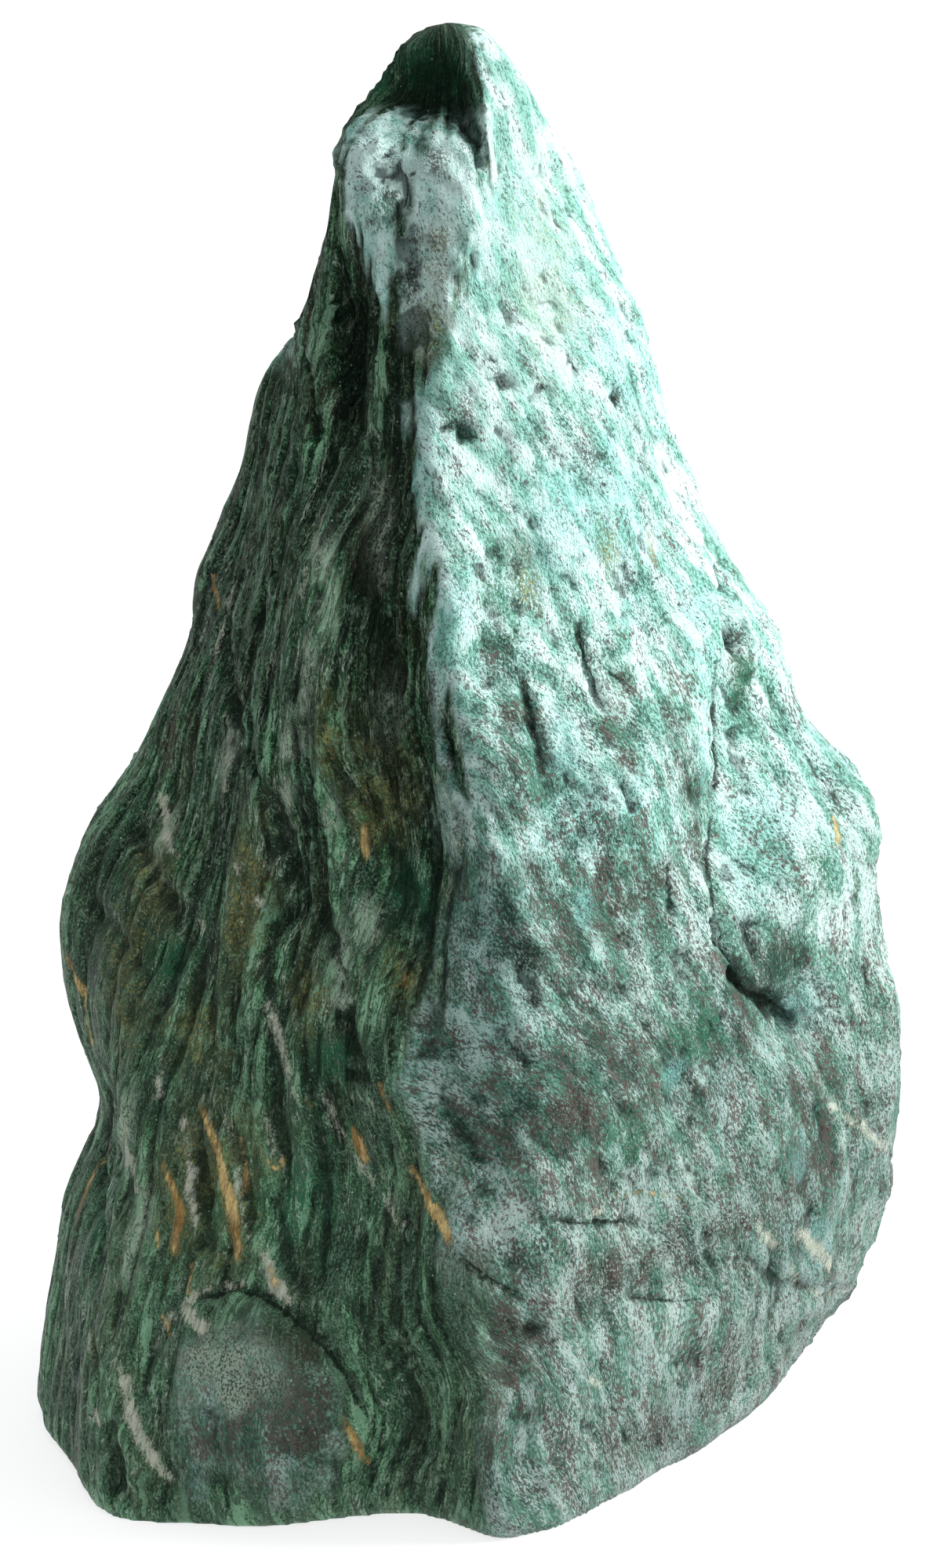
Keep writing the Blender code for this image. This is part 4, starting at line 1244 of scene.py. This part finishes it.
    # Mica plates about 0.5 mm across, each tipped its own way, so that some catch the light.
    plates, _ = cells(grain, (0.45, 0.45, 0.7))
    tilt = put(VECTOR_MATH, plates["Color"], (0.5, 0.5, 0.5), operation="SUBTRACT")[0]
    tilt = put(VECTOR_MATH, tilt, more={"Scale": 0.5}, operation="SCALE")[0]
    tipped = put(VECTOR_MATH, put("ShaderNodeNewGeometry")["Normal"], tilt, operation="ADD")[0]
    tipped = put(VECTOR_MATH, tipped, operation="NORMALIZE")[0]
    # Painted glints: here and there a plate 0.3 mm wide is painted pale, as if it shone.
    glint_cells, _ = cells(place, (0.55, 0.55, 0.55))
    glint_share = put("ShaderNodeSeparateColor", glint_cells["Color"])[0]
    glint_share = put(MAP_RANGE, glint_share, 0.97, 0.995, 0.0, 0.6)[0]
    surface = laid_on(surface, "pale", put(MAP_RANGE, glint_cells["Distance"], 0.32, 0.16, 0.0, glint_share)[0])

    # Scales about 2 mm wide and 4 mm long, which overlap like shingles and end in small steps.
    scales, warp = cells(grain, (2.2, 1.5, 3.6))
    inside = put(VECTOR_MATH, warp, scales["Position"], operation="SUBTRACT")[0]
    lean = put(VECTOR_MATH, scales["Color"], (0.5, 1.0, 1.0), operation="SUBTRACT")[0]
    shingle = put(VECTOR_MATH, inside, lean, operation="DOT_PRODUCT")["Value"]

    # Relief too fine for the mesh: each pattern, its height where the grain is cut across and its
    # height on open sheets, as shares of BUMP_HEIGHT.
    bumps = 0.0
    for part, across, along in (
            (fibre, 1.0, 0.3), (flake, 0.2, 1.0), (shingle, 0.1, 0.35), (grit, 0.3, 0.3),
            (pale_lines, 0.35, 0.35), (dark_lines, -0.5, 0.0)):
        share = put(MIX, cleave, more={2: across, 3: along})[0]
        bumps = put(MATH, part, share, bumps, operation="MULTIPLY_ADD")[0]
    bump = put("ShaderNodeBump", more={"Distance": BUMP_HEIGHT * MM, "Height": bumps, "Normal": tipped})[0]

    tree.links.new(surface, shader.inputs["Base Color"])
    tree.links.new(bump, shader.inputs["Normal"])
    tree.links.new(put(MAP_RANGE, fibre, 0.3, 0.7, 0.55, 0.36)[0], shader.inputs["Roughness"])
    shader.inputs["IOR"].default_value = 1.58
    shader.inputs["Specular IOR Level"].default_value = 0.12
    return material


def flat_foot(mesh):
    """Joins the faces of the sawn foot, which is level, into one."""
    form = bmesh.new()
    form.from_mesh(mesh)
    level = [face for face in form.faces if all(vert.co.z < 1e-7 for vert in face.verts)]
    bmesh.ops.dissolve_faces(form, faces=level, use_verts=True)
    form.to_mesh(mesh)
    form.free()


def crest_values(skin):
    """How far each point stands over its surroundings: about 1 on a crest and -1 in a furrow."""
    facing = skin.averaged(skin.facing, 4)
    near = skin.averaged(skin.points, 5)
    far = skin.averaged(near, 40)
    fine = ((skin.points - near) * facing).sum(axis=1)
    broad = ((near - far) * facing).sum(axis=1)
    return np.clip(fine / SMALL_CREST + broad / BROAD_CREST, -1.5, 1.5)


class STONE_OT_specimen(bpy.types.Operator):
    """Make the stone: carve the CAD solid's skin, add the grain's relief and give it its material"""

    bl_idname = "fuchsite.specimen"
    bl_label = "Stone"

    def execute(self, context):
        scene = context.scene
        sizes = scene.fuchsite_sizes
        material = schist_material(scene.fuchsite_colours)
        skin = carved_skin(sizes)
        skin.store("grain", grain_places(skin))
        skin.store("comb", combed_places(skin))
        skin.store("cleavage", open_sheets(skin))
        skin.store("seam_side", skin.seam_side)
        skin.store("seam_width", skin.seam_width)
        skin.store("ochre", marked(skin, OCHRE))
        skin.store("vein", marked(skin, VEINS))
        skin.store("bold", boldness(skin))
        for tint in PATCHES:
            skin.store(tint, tinted(skin, tint))
        relief = {name: getattr(sizes, name.lower().replace(" ", "_")) for name in RELIEF_INPUTS}
        relief |= {"Seed": float(sizes.seed), "Material": material}
        mesh = with_nodes(skin.mesh, relief_tree(), relief)
        finished = Skin(mesh)
        finished.store("crest", crest_values(finished))
        flat_foot(mesh)
        mesh.shade_smooth()
        stone = bpy.data.objects.new("stone", mesh)
        scene.collection.objects.link(stone)
        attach(stone, BODY)
        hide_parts(NODE)
        return {"FINISHED"}


def add_floor(scene, stage):
    """Lays the pale floor, which light comes through from below."""
    half = stage.floor_width / 2
    mesh = bpy.data.meshes.new("floor")
    corners = [(-half, -half, 0), (half, -half, 0), (half, half, 0), (-half, half, 0)]
    mesh.from_pydata(corners, [], [(0, 1, 2, 3)])
    floor = bpy.data.objects.new("floor", mesh)
    paper = bpy.data.materials.new("pale_paper")
    paper.use_nodes = True
    shader = paper.node_tree.nodes["Principled BSDF"]
    shader.inputs["Base Color"].default_value = (*stage.floor_colour, 1)
    shader.inputs["Roughness"].default_value = FLOOR_ROUGHNESS
    shader.inputs["Emission Color"].default_value = (1, 1, 1, 1)
    shader.inputs["Emission Strength"].default_value = stage.floor_glow
    mesh.materials.append(paper)
    scene.collection.objects.link(floor)


def add_window(scene, stage):
    """Hangs the soft window, which the camera does not see."""
    light = bpy.data.lights.new("window", "AREA")
    light.size = stage.key_size
    light.energy = stage.key_power
    light.spread = stage.key_spread
    window = bpy.data.objects.new("window", light)
    window.location = WINDOW_PLACE
    window.rotation_mode = "QUATERNION"
    window.rotation_quaternion = (WINDOW_PLACE - WINDOW_AIM).to_track_quat("Z", "Y")
    window.visible_camera = False
    scene.collection.objects.link(window)


def add_sky(scene, stage):
    """Lights the world like a softbox hung over the stone: bright overhead and dim near the floor."""
    world = bpy.data.worlds.new("sky")
    world.use_nodes = True
    background = world.node_tree.nodes["Background"]
    background.inputs["Color"].default_value = (*SKY_COLOUR, 1)
    put = partial(add, world.node_tree)
    way = put("ShaderNodeTexCoord")["Generated"]
    rise = put("ShaderNodeSeparateXYZ", way)[2]
    glow = put(MATH, put(MATH, rise, 0.0, operation="MAXIMUM")[0], SKY_POWER, operation="POWER")[0]
    side = put(VECTOR_MATH, way, SKY_SIDE, operation="DOT_PRODUCT")["Value"]
    glow = put(MATH, glow, put(MATH, side, 1.0)[0], operation="MULTIPLY")[0]
    strength = put(MATH, glow, stage.sky_strength, SKY_LEAST, operation="MULTIPLY_ADD")[0]
    world.node_tree.links.new(strength, background.inputs["Strength"])
    scene.world = world


def add_camera(scene):
    """Sets the camera up for the display view."""
    eye, way = sight(FRONT, 0, CARD_MIDDLE)
    camera = bpy.data.objects.new("camera", bpy.data.cameras.new("camera"))
    camera.data.lens = VIEW_LENS
    camera.location = eye * MM
    camera.rotation_mode = "QUATERNION"
    camera.rotation_quaternion = way.to_track_quat("-Z", "Y")
    scene.collection.objects.link(camera)
    scene.camera = camera


class STONE_OT_stage(bpy.types.Operator):
    """Make the display stage: a pale floor, a soft window on the right, the sky and the camera"""

    bl_idname = "fuchsite.stage"
    bl_label = "Stage"

    def execute(self, context):
        scene = context.scene
        stage = scene.fuchsite_stage
        add_floor(scene, stage)
        add_window(scene, stage)
        add_sky(scene, stage)
        add_camera(scene)
        scene.view_settings.view_transform = "Standard"
        return {"FINISHED"}


class STONE_PT_panel(bpy.types.Panel):
    """Sizes, colours and buttons for the stone"""

    bl_label = "Fuchsite specimen"
    bl_space_type = "VIEW_3D"
    bl_region_type = "UI"
    bl_category = "Fuchsite"

    def draw(self, context):
        scene = context.scene
        for group in (scene.fuchsite_sizes, scene.fuchsite_colours, scene.fuchsite_stage):
            box = self.layout.box()
            for name in group.__annotations__:
                box.prop(group, name)
        self.layout.operator(STONE_OT_specimen.bl_idname)
        self.layout.operator(STONE_OT_stage.bl_idname)


CLASSES = (StoneSizes, StoneColours, StageSettings, STONE_OT_specimen, STONE_OT_stage, STONE_PT_panel)


def register():
    """Adds the classes and their settings."""
    for item in CLASSES:
        bpy.utils.register_class(item)
    bpy.types.Scene.fuchsite_sizes = PointerProperty(type=StoneSizes)
    bpy.types.Scene.fuchsite_colours = PointerProperty(type=StoneColours)
    bpy.types.Scene.fuchsite_stage = PointerProperty(type=StageSettings)


def unregister():
    """Takes them away again."""
    for name in ("fuchsite_sizes", "fuchsite_colours", "fuchsite_stage"):
        delattr(bpy.types.Scene, name)
    for item in reversed(CLASSES):
        bpy.utils.unregister_class(item)


def main():
    register()
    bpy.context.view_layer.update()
    bpy.ops.fuchsite.specimen()
    bpy.ops.fuchsite.stage()


if __name__ == "__main__":
    main()
